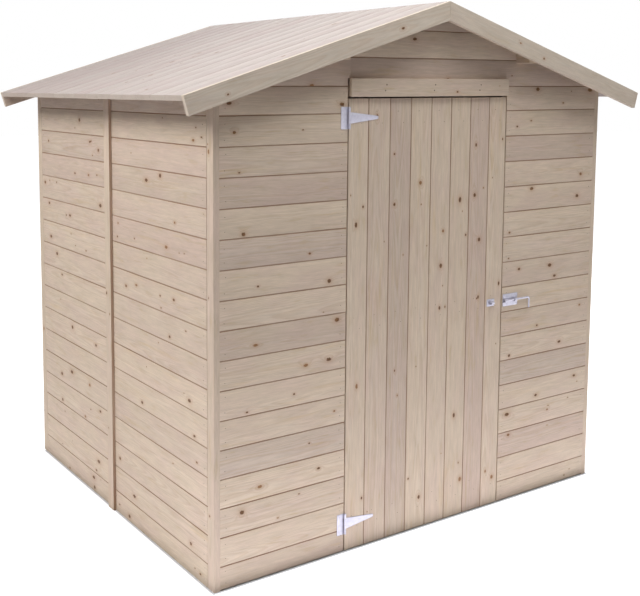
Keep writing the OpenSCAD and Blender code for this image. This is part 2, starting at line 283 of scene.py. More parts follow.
def carried(rings: np.ndarray, closed_ends: bool = True) -> tuple[list[list[int]], np.ndarray, np.ndarray]:
    """Faces that join a closed profile's places along a path, ring to ring.

    A face of no area, where the profile stands still, is left out, and each end is one flat face.

    Args:
        rings: Points of shape (stations, corners, 3).
        closed_ends: Whether the first and last rings are closed.

    Returns:
        The faces, the station and corner that each starts from, and a mark of 1 on the end faces.
    """
    stations, corners = rings.shape[:2]
    index = np.arange(stations * corners).reshape(stations, corners)
    after = np.roll(index, -1, axis=1)
    quads = np.stack([index[:-1], index[1:], after[1:], after[:-1]], axis=-1).reshape(-1, 4)
    flat = rings.reshape(-1, 3)
    across = np.cross(flat[quads[:, 2]] - flat[quads[:, 0]], flat[quads[:, 3]] - flat[quads[:, 1]])
    solid = np.linalg.norm(across, axis=1) > 1e-9
    starts = np.stack(np.divmod(np.arange(len(quads)), corners), axis=1)[solid]
    faces = quads[solid].tolist()
    ends = np.zeros(len(faces) + 2 * closed_ends)
    if closed_ends:
        for ring in (index[0], index[-1][::-1]):
            moved = np.linalg.norm(flat[ring] - flat[np.roll(ring, 1)], axis=1) > 1e-7
            faces.append(ring[moved].tolist())
        ends[-2:] = 1.0
        starts = np.vstack([starts, [[0, -1], [0, -1]]])
    return faces, starts, ends


# ---------------------------------------------------------------- matched boards

@dataclass(frozen=True)
class Matching:
    """Section of a matched board: V-joint, tongue and groove."""

    thickness: float = 12 * MM
    chamfer: float = 1.9 * MM
    gap: float = 0.15 * MM
    tongue: float = 5 * MM
    arris: float = 0.5 * MM
    groove_clear: float = 0.6 * MM
    tongue_taper: float = 0.3 * MM
    tongue_share: float = 0.3
    full_width: float = 8 * MM
    least_room: float = 0.05

    def section(self, run: "Run", lean: float) -> tuple[np.ndarray, np.ndarray]:
        """The section at each station, round the face, the upper edge, the back and the lower edge.

        Each corner stands off the lower or upper edge by the gap and a share of the chamfer, and
        the tongue and groove grow from nothing where an edge is matched.

        Args:
            run: The board's edges along its length.
            lean: Rise of the upper edge for each unit of depth.

        Returns:
            The corners as (stations, 16, 2) across and outward, and a joint mark for each side.
        """
        low, high = run.low_joint, run.high_joint
        room = np.clip((run.upper - run.lower) / self.full_width, self.least_room, 1.0)
        cut_low = (self.arris + (self.chamfer - self.arris) * low) * room
        cut_high = (self.arris + (self.chamfer - self.arris) * high) * room
        foot = run.lower + self.gap * low
        head = run.upper - self.gap * high
        tongue = head + self.tongue * high
        groove = foot + (self.tongue + self.groove_clear) * low
        near = np.full_like(foot, (0.5 - self.tongue_share / 2) * self.thickness)
        far = np.full_like(foot, (0.5 + self.tongue_share / 2) * self.thickness)
        taper = self.tongue_taper * high
        back = np.full_like(foot, self.thickness)
        none = np.zeros_like(foot)
        across = np.stack([
            foot, foot + 0.8 * cut_low, foot + 1.25 * cut_low,
            head - 1.25 * cut_high, head - 0.8 * cut_high, head,
            head, tongue, tongue, head, head,
            foot, foot, groove, groove, foot,
        ], axis=1)
        depth = np.stack([
            cut_low, 0.15 * cut_low, none,
            none, 0.15 * cut_high, cut_high,
            near, near + taper, far - taper, far, back,
            back, far, far, near, near,
        ], axis=1)
        across[:, 3:11] += lean * depth[:, 3:11]
        joint = np.stack([low] * 2 + [none] + [high] * 7 + [none] + [low] * 5, axis=1)
        return np.stack([across, -depth], axis=-1), joint


@dataclass
class Run:
    """A board's edges along its length, at stations where they change or bow."""

    along: np.ndarray
    lower: np.ndarray
    upper: np.ndarray
    low_joint: np.ndarray
    high_joint: np.ndarray


Edge = Callable[[np.ndarray], np.ndarray]


def level(height: float) -> Edge:
    """An edge at one height all along the board."""

    def edge(along: np.ndarray) -> np.ndarray:
        """The height at every place."""
        return np.full_like(along, height)

    return edge


def run_of(
    start: float,
    end: float,
    lower: Edge,
    upper: Edge,
    low_joint: Edge = level(1.0),
    high_joint: Edge = level(1.0),
    breaks: tuple[float, ...] = (),
    step: float = 0.35,
) -> Run:
    """Samples a board's edges just before and just after each break, and at even steps between.

    Args:
        start: Where the board starts.
        end: Where it ends.
        lower: Height of its lower edge.
        upper: Height of its upper edge.
        low_joint: 1 where the lower edge is matched, 0 where it is sawn.
        high_joint: The same for the upper edge.
        breaks: Places where an edge jumps or turns.
        step: Longest stretch between two stations.
    """
    even = np.linspace(start, end, max(2, int((end - start) / step) + 2))[1:-1]
    inner = np.unique(np.concatenate([[b for b in breaks if start < b < end], even]))
    along = np.concatenate([[start], np.repeat(inner, 2), [end]])
    probe = along.copy()
    probe[1:-1:2] -= 1e-6
    probe[2:-1:2] += 1e-6
    return Run(along, lower(probe), upper(probe), low_joint(probe), high_joint(probe))


@dataclass
class BoardLayer:
    """A layer of matched boards that lie side by side on one plane."""

    piece: PieceMesh
    datum: Datum
    yard: TimberYard
    matching: Matching = Matching()
    bow: float = 0.2 * MM
    uneven: float = 0.35 * MM

    def lay(
        self,
        run: Run,
        character: Character,
        lean: float = 0.0,
        end_shear: float = 0.0,
    ) -> None:
        """Lays one board: its section is carried along the run with a slight bow.

        The bow is a sine of the distance along, and the last end is sheared by its depth.

        Args:
            run: The board's edges.
            character: The board's look, from its own lower edge.
            lean: Rise of the upper edge for each unit of depth.
            end_shear: Length that the last end loses for each unit of depth.
        """
        rng = self.yard.rng
        section, joint = self.matching.section(run, lean)
        corners = section.shape[1]
        along = np.repeat(run.along[:, None], corners, axis=1)
        along[-1] += end_shear * section[-1, :, 1]
        wave = np.sin(run.along * rng.uniform(2.0, 6.0) + rng.uniform(0.0, 6.0))
        sink = -self.uneven * rng.uniform() - self.bow * (1.0 + wave)
        local = np.stack([along, section[..., 0], section[..., 1] + sink[:, None]], axis=-1)
        faces, starts, ends = carried(local)
        flat = local.reshape(-1, 3)
        own = flat - np.array([0.0, float(np.min(run.lower)), 0.0])
        sides = starts[:, 1] >= 0
        mark = np.zeros(len(faces))
        mark[sides] = joint[starts[sides, 0], starts[sides, 1]]
        self.piece.add(
            self.datum.placed(flat), faces, character.values(own), {"end_grain": ends, "joint": mark}
        )


# ---------------------------------------------------------------- materials

def shade(red: float, green: float, blue: float) -> tuple[float, float, float, float]:
    """A colour given in 0 to 255 steps of a screen, as the linear values that nodes take."""
    steps = np.array([red, green, blue]) / 255.0
    linear = np.where(steps > 0.04045, ((steps + 0.055) / 1.055) ** 2.4, steps / 12.92)
    return (float(linear[0]), float(linear[1]), float(linear[2]), 1.0)


@dataclass(frozen=True)
class Weave:
    """Noise drawn out along the grain: how fine it is along and across, its detail and roughness."""

    along: float
    across: float
    detail: float = 2.0
    rough: float = 0.5


RAGGED_EDGES = Weave(200.0, 260.0)
GENTLE_BEND = Weave(5.0, 10.0, 1.0)
BROAD_STREAKS = Weave(1.8, 26.0, 3.0, 0.62)
NARROW_STREAKS = Weave(6.0, 120.0, 3.0, 0.6)
FIBRES = Weave(22.0, 1100.0, 2.0, 0.6)
BLOTCHES = Weave(5.0, 13.0)
PATCHES = Weave(8.0, 34.0, 2.0, 0.6)
KNOT_KINDS = Weave(9.0, 14.0, 0.0)
RING_WANDER = Weave(3.2, 9.0, 3.0)

Span = tuple[float, float, float, float]  # a value's low and high limit, and what each becomes


class NodeSheet:
    """A short way to lay out and link the nodes of one tree."""

    def __init__(self, tree: bpy.types.NodeTree) -> None:
        """Starts on a tree's nodes and links."""
        self.tree = tree

    def node(self, kind: str, inputs: Optional[dict] = None, **settings: object) -> bpy.types.Node:
        """Adds a node.

        Args:
            kind: The node's type.
            inputs: A value or a socket for each input, by name or place.
            settings: The node's own settings.
        """
        made = self.tree.nodes.new(kind)
        for name, value in settings.items():
            setattr(made, name, value)
        for name, value in (inputs or {}).items():
            if isinstance(value, bpy.types.NodeSocket):
                self.tree.links.new(value, made.inputs[name])
            else:
                made.inputs[name].default_value = value
        return made

    def math(self, operation: str, *terms: object, clamp: bool = False) -> bpy.types.NodeSocket:
        """A Math node's result."""
        inputs = dict(enumerate(terms))
        return self.node("ShaderNodeMath", inputs, operation=operation, use_clamp=clamp).outputs[0]

    def vector(self, operation: str, *terms: object) -> bpy.types.NodeSocket:
        """A Vector Math node's vector."""
        return self.node("ShaderNodeVectorMath", dict(enumerate(terms)), operation=operation).outputs[0]

    def read(self, name: str, output: str = "Vector") -> bpy.types.NodeSocket:
        """An attribute of the piece."""
        return self.node("ShaderNodeAttribute", attribute_name=name).outputs[output]

    def split(self, vector: bpy.types.NodeSocket) -> list[bpy.types.NodeSocket]:
        """A vector's three numbers."""
        return list(self.node("ShaderNodeSeparateXYZ", {0: vector}).outputs)

    def noise(
        self, vector: bpy.types.NodeSocket, detail: float = 2.0, rough: float = 0.5, scale: float = 1.0
    ) -> bpy.types.NodeSocket:
        """Noise from 0 to 1 at a vector."""
        inputs = {"Vector": vector, "Scale": scale, "Detail": detail, "Roughness": rough}
        return self.node("ShaderNodeTexNoise", inputs).outputs["Fac"]

    def drawn(self, place: bpy.types.NodeSocket, weave: Weave) -> bpy.types.NodeSocket:
        """Noise drawn out along the grain."""
        times = (weave.along, weave.across, weave.across)
        return self.noise(self.vector("MULTIPLY", place, times), weave.detail, weave.rough)

    def distance(self, first: object, second: object) -> bpy.types.NodeSocket:
        """The square root of the sum of two squares."""
        squares = [self.math("MULTIPLY", side, side) for side in (first, second)]
        return self.math("SQRT", self.math("ADD", *squares))

    def span(
        self, value: object, low: float, high: float, to_low: float = 0.0, to_high: float = 1.0
    ) -> bpy.types.NodeSocket:
        """A value eased from one span to another, and held at its ends."""
        inputs = {"Value": value, "From Min": low, "From Max": high, "To Min": to_low, "To Max": to_high}
        return self.node("ShaderNodeMapRange", inputs, interpolation_type="SMOOTHSTEP").outputs[0]

    def mix(self, share: object, first: object, second: object) -> bpy.types.NodeSocket:
        """Two colours mixed."""
        made = self.node("ShaderNodeMix", data_type="RGBA")
        for name, value in ((0, share), (6, first), (7, second)):
            if isinstance(value, bpy.types.NodeSocket):
                self.tree.links.new(value, made.inputs[name])
            else:
                made.inputs[name].default_value = value
        return made.outputs[2]


def fresh_material(name: str) -> tuple[bpy.types.Material, NodeSheet, bpy.types.Node]:
    """A new material.

    Args:
        name: Its name.

    Returns:
        The material, a sheet on its nodes, and its shader.
    """
    material = bpy.data.materials.new(name)
    material.use_nodes = True
    return material, NodeSheet(material.node_tree), material.node_tree.nodes["Principled BSDF"]


KNOT_STRETCH = (1.1, 0.8)  # a knot's least half length along the grain in radii, and what chance adds
KNOT_CHANCE = 37.0  # turns a knot's place into its chance
KNOT_OVERSIZE = 1.12
KNOT_RAGGED = 0.9  # how far noise moves the edge, in radii
KNOT_EDGE = (1.12, 0.78)  # where the core starts and where it is full, in radii
HALO_FALL = 0.80  # the halo one radius out
SWIRL_FALL = 0.86  # the swirl one radius out
SWIRL_PUSH = 1.5  # push on the rings at the knot's middle, in radii
NO_KNOT = 0.0002  # least radius, in metres


def knot_group() -> bpy.types.NodeTree:
    """The node group of one knot.

    Distance from the knot's middle, shortened along the grain, is measured in radii. The core is
    what lies inside one ragged radius, the halo fades over three, and the swirl pushes the growth
    rings aside by a bell curve of the distance.

    Returns:
        The group, with outputs Core, Halo, Swirl and Distance.
    """
    tree = bpy.data.node_groups.new("knot", "ShaderNodeTree")
    for name in ("Grain", "Knot"):
        tree.interface.new_socket(name, in_out="INPUT", socket_type="NodeSocketVector")
    tree.interface.new_socket("Ragged", in_out="INPUT", socket_type="NodeSocketFloat")
    for name in ("Core", "Halo", "Swirl", "Distance"):
        tree.interface.new_socket(name, in_out="OUTPUT", socket_type="NodeSocketFloat")
    sheet = NodeSheet(tree)
    source = sheet.node("NodeGroupInput")
    along, across, _ = sheet.split(source.outputs["Grain"])
    knot_along, knot_across, radius = sheet.split(source.outputs["Knot"])
    chance = sheet.math("FRACT", sheet.math("MULTIPLY", knot_along, KNOT_CHANCE))
    least, spread = KNOT_STRETCH
    stretch = sheet.math("MULTIPLY_ADD", chance, spread, least)
    apart = sheet.math("DIVIDE", sheet.math("SUBTRACT", along, knot_along), stretch)
    beside = sheet.math("SUBTRACT", across, knot_across)
    reach = sheet.distance(apart, beside)
    size = sheet.math("MAXIMUM", sheet.math("MULTIPLY", radius, KNOT_OVERSIZE), NO_KNOT)
    radii = sheet.math("DIVIDE", reach, size)
    inner = sheet.math("SUBTRACT", radii, KNOT_RAGGED / 2)
    ragged = sheet.math("MULTIPLY_ADD", source.outputs["Ragged"], KNOT_RAGGED, inner)
    core = sheet.span(ragged, *KNOT_EDGE)
    square = sheet.math("MULTIPLY", radii, radii)
    halo = sheet.math("POWER", HALO_FALL, square)
    bell = sheet.math("POWER", SWIRL_FALL, square)
    sink = sheet.node("NodeGroupOutput")
    tree.links.new(core, sink.inputs["Core"])
    tree.links.new(halo, sink.inputs["Halo"])
    push = sheet.math("MULTIPLY", radius, SWIRL_PUSH)
    tree.links.new(sheet.math("MULTIPLY", push, bell), sink.inputs["Swirl"])
    tree.links.new(radii, sink.inputs["Distance"])
    return tree


@dataclass(frozen=True)
class TimberFinish:
    """Spruce as it leaves the planer or the saw.

    A span holds a noise's low and high limit and the share or tint that each becomes. A height
    is what a part adds to the bump.
    """

    name: str
    pale: tuple[float, float, float, float] = shade(213, 194, 173)
    pink: tuple[float, float, float, float] = shade(211, 188, 172)
    grey: tuple[float, float, float, float] = shade(197, 180, 167)
    late: tuple[float, float, float, float] = shade(176, 140, 104)
    streak: tuple[float, float, float, float] = shade(204, 176, 136)
    knot: tuple[float, float, float, float] = shade(98, 64, 38)
    sound_knot: tuple[float, float, float, float] = shade(140, 100, 64)
    knot_rim: tuple[float, float, float, float] = shade(176, 136, 104)
    # colour of the painted shade in the V-joints
    joint: tuple[float, float, float, float] = shade(138, 102, 76)
    end: tuple[float, float, float, float] = shade(224, 206, 180)
    ring_spacing: float = 3.1 * MM
    ring_strength: float = 0.20
    fibre: float = 0.10
    relief: float = 0.25
    roughness: float = 0.62
    gloss: float = 0.16
    bend: float = 0.022
    warmth: float = 0.40
    bump_depth: float = 0.4 * MM
    ring_rise: tuple[float, float] = (0.25, 0.82)
    ring_fall: tuple[float, float] = (1.0, 0.90)
    ring_wander: float = 0.034
    pith_sway: float = 1.3
    warm_limits: tuple[float, float] = (0.32, 0.68)
    streaks: Span = (0.56, 0.80, 0.0, 0.5)
    patches: Span = (0.56, 0.74, 0.0, 0.30)
    bands: Span = (0.25, 0.75, 0.94, 1.045)
    clouds: Span = (0.3, 0.7, 1.03, 0.955)
    # painted shade in the V-joints: how much joint colour goes in, eased by the broad streaks
    grime: Span = (0.35, 0.65, 0.48, 0.84)
    heart_rings: float = 17.0
    heart_tint: Span = (-1.0, 1.0, 0.8, 1.25)
    sound_knots: tuple[float, float] = (0.46, 0.62)
    rim_share: float = 0.5
    knot_share: float = 0.93
    end_share: float = 0.40
    late_height: float = 0.35
    fibre_height: float = 0.5
    streak_height: float = 0.6
    knot_height: float = -0.5

    def material(self, knots: bpy.types.NodeTree) -> bpy.types.Material:
        """Builds the material.

        Growth rings are circles round the board's pith, bent by noise and pushed aside by knots.
        Streaks and fibres are noise drawn out along the grain.

        Args:
            knots: The node group of one knot.
        """
        material, sheet, shader = fresh_material(self.name)
        shader.inputs["Specular IOR Level"].default_value = self.gloss
        straight = sheet.read("grain")
        ragged = sheet.drawn(straight, RAGGED_EDGES)
        core, halo, swirl, nearest = self._knots(sheet, knots, straight, ragged)
        late = self._rings(sheet, straight, swirl)
        bend = sheet.math("SUBTRACT", sheet.drawn(straight, GENTLE_BEND), 0.5)
        aside = sheet.math("ADD", sheet.math("MULTIPLY", bend, self.bend), swirl)
        moved = sheet.node("ShaderNodeCombineXYZ", {1: aside})
        grain = sheet.vector("ADD", straight, moved.outputs[0])
        broad = sheet.drawn(grain, BROAD_STREAKS)
        narrow = sheet.drawn(grain, NARROW_STREAKS)
        fine = sheet.drawn(grain, FIBRES)
        blotch = sheet.drawn(straight, BLOTCHES)
        patch = sheet.drawn(grain, PATCHES)
        kind = sheet.drawn(straight, KNOT_KINDS)

        pinkness, greyness, lightness = sheet.split(sheet.read("tone"))
        warm = sheet.math("ADD", pinkness, sheet.span(blotch, *self.warm_limits, -self.warmth, self.warmth))
        colour = sheet.mix(sheet.math("MINIMUM", sheet.math("MAXIMUM", warm, 0.0), 1.0), self.pale, self.pink)
        colour = sheet.mix(sheet.math("ADD", greyness, 0.0, clamp=True), colour, self.grey)
        colour = sheet.mix(sheet.span(broad, *self.streaks), colour, self.streak)
        colour = sheet.mix(sheet.span(patch, *self.patches), colour, self.streak)
        colour = sheet.mix(sheet.math("MULTIPLY", late, self.ring_strength), colour, self.late)
        bands = sheet.span(narrow, *self.bands)
        clouds = sheet.span(patch, *self.clouds)
        fibres = sheet.span(fine, 0.3, 0.75, 1.0 - self.fibre, 1.0 + 0.5 * self.fibre)
        tint = lightness
        for share in (bands, clouds, fibres):
            tint = sheet.math("MULTIPLY", tint, share)
        colour = sheet.vector("SCALE", colour)
        sheet.tree.links.new(tint, colour.node.inputs["Scale"])
        colour = sheet.mix(sheet.math("MULTIPLY", halo, self.rim_share), colour, self.knot_rim)
        rings = sheet.math("SINE", sheet.math("MULTIPLY", nearest, self.heart_rings))
        heart = sheet.span(rings, *self.heart_tint)
        sound = sheet.span(kind, *self.sound_knots)
        dark = sheet.vector("SCALE", sheet.mix(sound, self.knot, self.sound_knot))
        sheet.tree.links.new(heart, dark.node.inputs["Scale"])
        colour = sheet.mix(sheet.math("MULTIPLY", core, self.knot_share), colour, dark)
        cut = sheet.math("MULTIPLY", sheet.read("end_grain", "Fac"), self.end_share)
        colour = sheet.mix(cut, colour, self.end)
        # Painted shade: faces with a joint mark (the V-joints' chamfers, tongues and grooves, and marked
        # faces of sawn members) take the joint colour, unevenly along the broad streaks.
        grime = sheet.math("MULTIPLY", sheet.read("joint", "Fac"), sheet.span(broad, *self.grime))
        colour = sheet.mix(grime, colour, self.joint)
        sheet.tree.links.new(colour, shader.inputs["Base Color"])

        rough = sheet.span(fine, 0.2, 0.8, self.roughness - 0.06, self.roughness + 0.10)
        sheet.tree.links.new(sheet.math("MULTIPLY_ADD", core, -0.05, rough), shader.inputs["Roughness"])
        height = sheet.math("MULTIPLY", late, self.late_height)
        parts = ((fine, self.fibre_height), (narrow, self.streak_height), (core, self.knot_height))
        for part, share in parts:
            height = sheet.math("MULTIPLY_ADD", part, share, height)
        bump = sheet.node(
            "ShaderNodeBump", {"Strength": self.relief, "Distance": self.bump_depth, "Height": height}
        )
        sheet.tree.links.new(bump.outputs[0], shader.inputs["Normal"])
        return material

    def _knots(
        self,
        sheet: NodeSheet,
        knots: bpy.types.NodeTree,
        grain: bpy.types.NodeSocket,
        ragged: bpy.types.NodeSocket,
    ) -> tuple[object, object, object, object]:
        """Adds up a board's knots.

        Args:
            sheet: The material's sheet.
            knots: The node group of one knot.
            grain: The board's own coordinates.
            ragged: Noise that roughens the knots' edges.

        Returns:
            The cores, halos, swirls and the distance to the nearest knot in radii.
        """
        core, halo, swirl, nearest = 0.0, 0.0, 0.0, 1000.0
        for place in range(KNOTS_PER_BOARD):
            inputs = {"Grain": grain, "Knot": sheet.read(f"knot_{place + 1}"), "Ragged": ragged}
            one = sheet.node("ShaderNodeGroup", node_tree=knots)
            for name, value in inputs.items():
                sheet.tree.links.new(value, one.inputs[name])
            core = sheet.math("MAXIMUM", core, one.outputs["Core"])
            halo = sheet.math("MAXIMUM", halo, one.outputs["Halo"])
            swirl = sheet.math("ADD", swirl, one.outputs["Swirl"])
            nearest = sheet.math("MINIMUM", nearest, one.outputs["Distance"])
        return core, halo, swirl, nearest

    def _rings(self, sheet: NodeSheet, grain: bpy.types.NodeSocket, swirl: object) -> bpy.types.NodeSocket:
        """Late wood, from 0 to 1: a soft rise and a sharp fall once in each ring round the pith.

        Args:
            sheet: The material's sheet.
            grain: The board's own coordinates.
            swirl: How far knots push the rings aside.
        """
        along, across, outward = sheet.split(grain)
        pith_across, pith_depth, tilt = sheet.split(sheet.read("pith"))
        wander = sheet.drawn(grain, RING_WANDER)
        wander = sheet.math("MULTIPLY", sheet.math("SUBTRACT", wander, 0.5), self.ring_wander)
        sway = sheet.math("MULTIPLY", sheet.math("SINE", sheet.math("MULTIPLY", along, self.pith_sway)), tilt)
        aside = sheet.math("ADD", sheet.math("SUBTRACT", across, pith_across), wander)
        below = sheet.math("SUBTRACT", outward, sheet.math("ADD", pith_depth, sway))
        reach = sheet.math("SUBTRACT", sheet.distance(aside, below), swirl)
        phase = sheet.math("FRACT", sheet.math("DIVIDE", reach, self.ring_spacing))
        return sheet.math("MULTIPLY", sheet.span(phase, *self.ring_rise), sheet.span(phase, *self.ring_fall))


@dataclass(frozen=True)
class ZincFinish:
    """Bright zinc plate on pressed steel: a pale bluish skin with a faint cloudy bloom."""

    name: str = "zinc_plate"
    bright: tuple[float, float, float, float] = shade(186, 183, 195)
    cloudy: tuple[float, float, float, float] = shade(178, 175, 188)
    metallic: float = 0.6
    roughness: float = 0.34

    def material(self) -> bpy.types.Material:
        """Builds the material from cloud noise on Object coordinates."""
        material, sheet, shader = fresh_material(self.name)
        place = sheet.node("ShaderNodeTexCoord").outputs["Object"]
        cloud = sheet.noise(place, 4.0, 0.6, 90.0)
        speck = sheet.noise(place, 2.0, 0.5, 900.0)
        colour = sheet.mix(sheet.span(cloud, 0.35, 0.7), self.bright, self.cloudy)
        sheet.tree.links.new(colour, shader.inputs["Base Color"])
        rough = sheet.span(cloud, 0.3, 0.7, self.roughness - 0.06, self.roughness + 0.12)
        sheet.tree.links.new(rough, shader.inputs["Roughness"])
        shader.inputs["Metallic"].default_value = self.metallic
        bump = sheet.node("ShaderNodeBump", {"Strength": 0.05, "Distance": 0.1 * MM, "Height": speck})
        sheet.tree.links.new(bump.outputs[0], shader.inputs["Normal"])
        return material


@dataclass(frozen=True)
class NailFinish:
    """Heads of small wire nails, dull and slightly brown where they sit in the wood."""

    name: str = "nail_heads"
    bare: tuple[float, float, float, float] = shade(112, 98, 86)
    darkened: tuple[float, float, float, float] = shade(78, 62, 50)

    def material(self) -> bpy.types.Material:
        """Builds the material from speckle noise on Object coordinates."""
        material, sheet, shader = fresh_material(self.name)
        speck = sheet.noise(sheet.node("ShaderNodeTexCoord").outputs["Object"], 3.0, 0.6, 420.0)
        colour = sheet.mix(sheet.span(speck, 0.35, 0.65), self.bare, self.darkened)
        sheet.tree.links.new(colour, shader.inputs["Base Color"])
        sheet.tree.links.new(sheet.span(speck, 0.3, 0.7, 0.35, 0.6), shader.inputs["Roughness"])
        shader.inputs["Metallic"].default_value = 0.4
        return material


@dataclass
class Finishes:
    """All the shed's materials, made once."""

    cladding: bpy.types.Material
    trim: bpy.types.Material
    roof_trim: bpy.types.Material
    framing: bpy.types.Material
    roof: bpy.types.Material
    zinc: bpy.types.Material
    nails: bpy.types.Material

    @classmethod
    def mixed(cls) -> "Finishes":
        """Builds every finish."""
        knots = knot_group()
        return cls(
            cladding=TimberFinish("planed_cladding").material(knots),
            trim=TimberFinish(
                "planed_trim", pale=shade(208, 189, 168), ring_spacing=2.6 * MM
            ).material(knots),
            # The bargeboards take a darker, greyer copy of the trim's spruce: painted shade that dims their
            # tops and edges where the light from above falls.
            roof_trim=TimberFinish(
                "planed_bargeboards",
                pale=shade(203, 189, 173),
                pink=shade(200, 182, 168),
                grey=shade(186, 173, 162),
                streak=shade(196, 174, 146),
                end=shade(208, 192, 174),
                ring_spacing=2.6 * MM,
                gloss=0.15,
            ).material(knots),
            framing=TimberFinish(
                "sawn_framing", pale=shade(208, 184, 152), fibre=0.22, relief=0.8, roughness=0.8
            ).material(knots),
            # The roof boards' colours are darker than the walls' spruce: painted shade that offsets the
            # stronger light falling on the roof from above.
            roof=TimberFinish(
                "planed_roof_boards",
                pale=shade(181, 170, 164),
                pink=shade(180, 165, 160),
                grey=shade(164, 155, 152),
                late=shade(166, 145, 131),
                streak=shade(172, 154, 140),
                knot=shade(120, 100, 86),
                sound_knot=shade(146, 127, 112),
                knot_rim=shade(180, 160, 146),
                # painted shade in the roof boards' V-joints, paler than the walls'
                joint=shade(152, 136, 126),
                end=shade(206, 188, 168),
                ring_strength=0.22,
                roughness=0.7,
                gloss=0.12,
            ).material(knots),
            zinc=ZincFinish().material(),
            nails=NailFinish().material(),
        )


# ---------------------------------------------------------------- the roof's slope

@dataclass
class RoofLine:
    """The underside of the roof boards, read from the frame."""

    ridge_x: float
    eave_x: float
    eave_z: float
    ridge_z: float
    seat: float = 0.3 * MM

    @classmethod
    def from_frame(cls) -> "RoofLine":
        """Reads the left slope's boards: their upper corners at the eave and the ridge."""
        low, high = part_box("roof_deck_left")
        pitch = math.atan2(high.z - EAVE_TOP, high.x - low.x)
        drop = DECK / math.cos(pitch)
        return cls(high.x, low.x, EAVE_TOP - drop, high.z - drop)

    @property
    def rise(self) -> float:
        """Rise for each unit of run."""
        return (self.ridge_z - self.eave_z) / (self.ridge_x - self.eave_x)

    def under(self, x: np.ndarray) -> np.ndarray:
        """Height just under the boards at x."""
        return self.ridge_z - self.seat - self.rise * np.abs(x - self.ridge_x)

    def reach(self, z: float) -> float:
        """Distance from the ridge at which the underside is at height z."""
        return (self.ridge_z - self.seat - z) / self.rise


# ---------------------------------------------------------------- walls

@dataclass
class NailRow:
    """Small nail heads, each a low dome of eight sides."""

    piece: PieceMesh
    radius: float = 1.5 * MM
    proud: float = 0.35 * MM
    sunk: float = 0.25 * MM
    skirt: float = 0.8 * MM

    def drive(self, datum: Datum, spots: np.ndarray) -> None:
        """Drives a nail at each spot.

        Each head is rings of radius R sin(a) at height H cos(a), for a from 0 to a right angle.

        Args:
            datum: The axes of the boards.
            spots: Places as (along, across), one row each.
        """
        if not len(spots):
            return
        turn = np.linspace(0, 2 * math.pi, NAIL_SIDES, endpoint=False)
        rise = np.array([math.pi / 2, 1.1, 0.55])
        ring = np.stack([
            np.outer(np.sin(rise), np.cos(turn)) * self.radius,
            np.outer(np.sin(rise), np.sin(turn)) * self.radius,
            np.outer(np.cos(rise), np.ones(NAIL_SIDES)) * self.proud - self.sunk,
        ], axis=-1).reshape(-1, 3)
        ring[:NAIL_SIDES, 2] -= self.skirt
        index = np.arange(len(rise) * NAIL_SIDES).reshape(len(rise), NAIL_SIDES)
        after = np.roll(index, -1, axis=1)
        quads = np.stack([index[:-1], after[:-1], after[1:], index[1:]], axis=-1).reshape(-1, 4).tolist()
        faces = quads + [index[2].tolist(), index[0][::-1].tolist()]
        for along, across in spots:
            self.piece.add(datum.placed(ring + np.array([along, across, 0.0])), faces)


@dataclass
class WallRows:
    """Heights of the rows of boards on a wall."""

    first: float = 0.089
    cover: float = 0.106
    panel_top: float = 1.779

    def heights(self, foot: float, top: float) -> list[tuple[float, float]]:
        """The rows' lower and upper edges.

        Args:
            foot: Height of the lowest board's lower edge.
            top: Height above which no row starts.

        Returns:
            A pair for each row, from the ground up.
        """
        lines = [foot, *np.arange(self.first, self.panel_top - 0.6 * self.cover, self.cover)]
        lines += list(np.arange(self.panel_top, top, self.cover)) + [top]
        return [(float(a), float(b)) for a, b in zip(lines[:-1], lines[1:]) if b - a > 8 * MM]


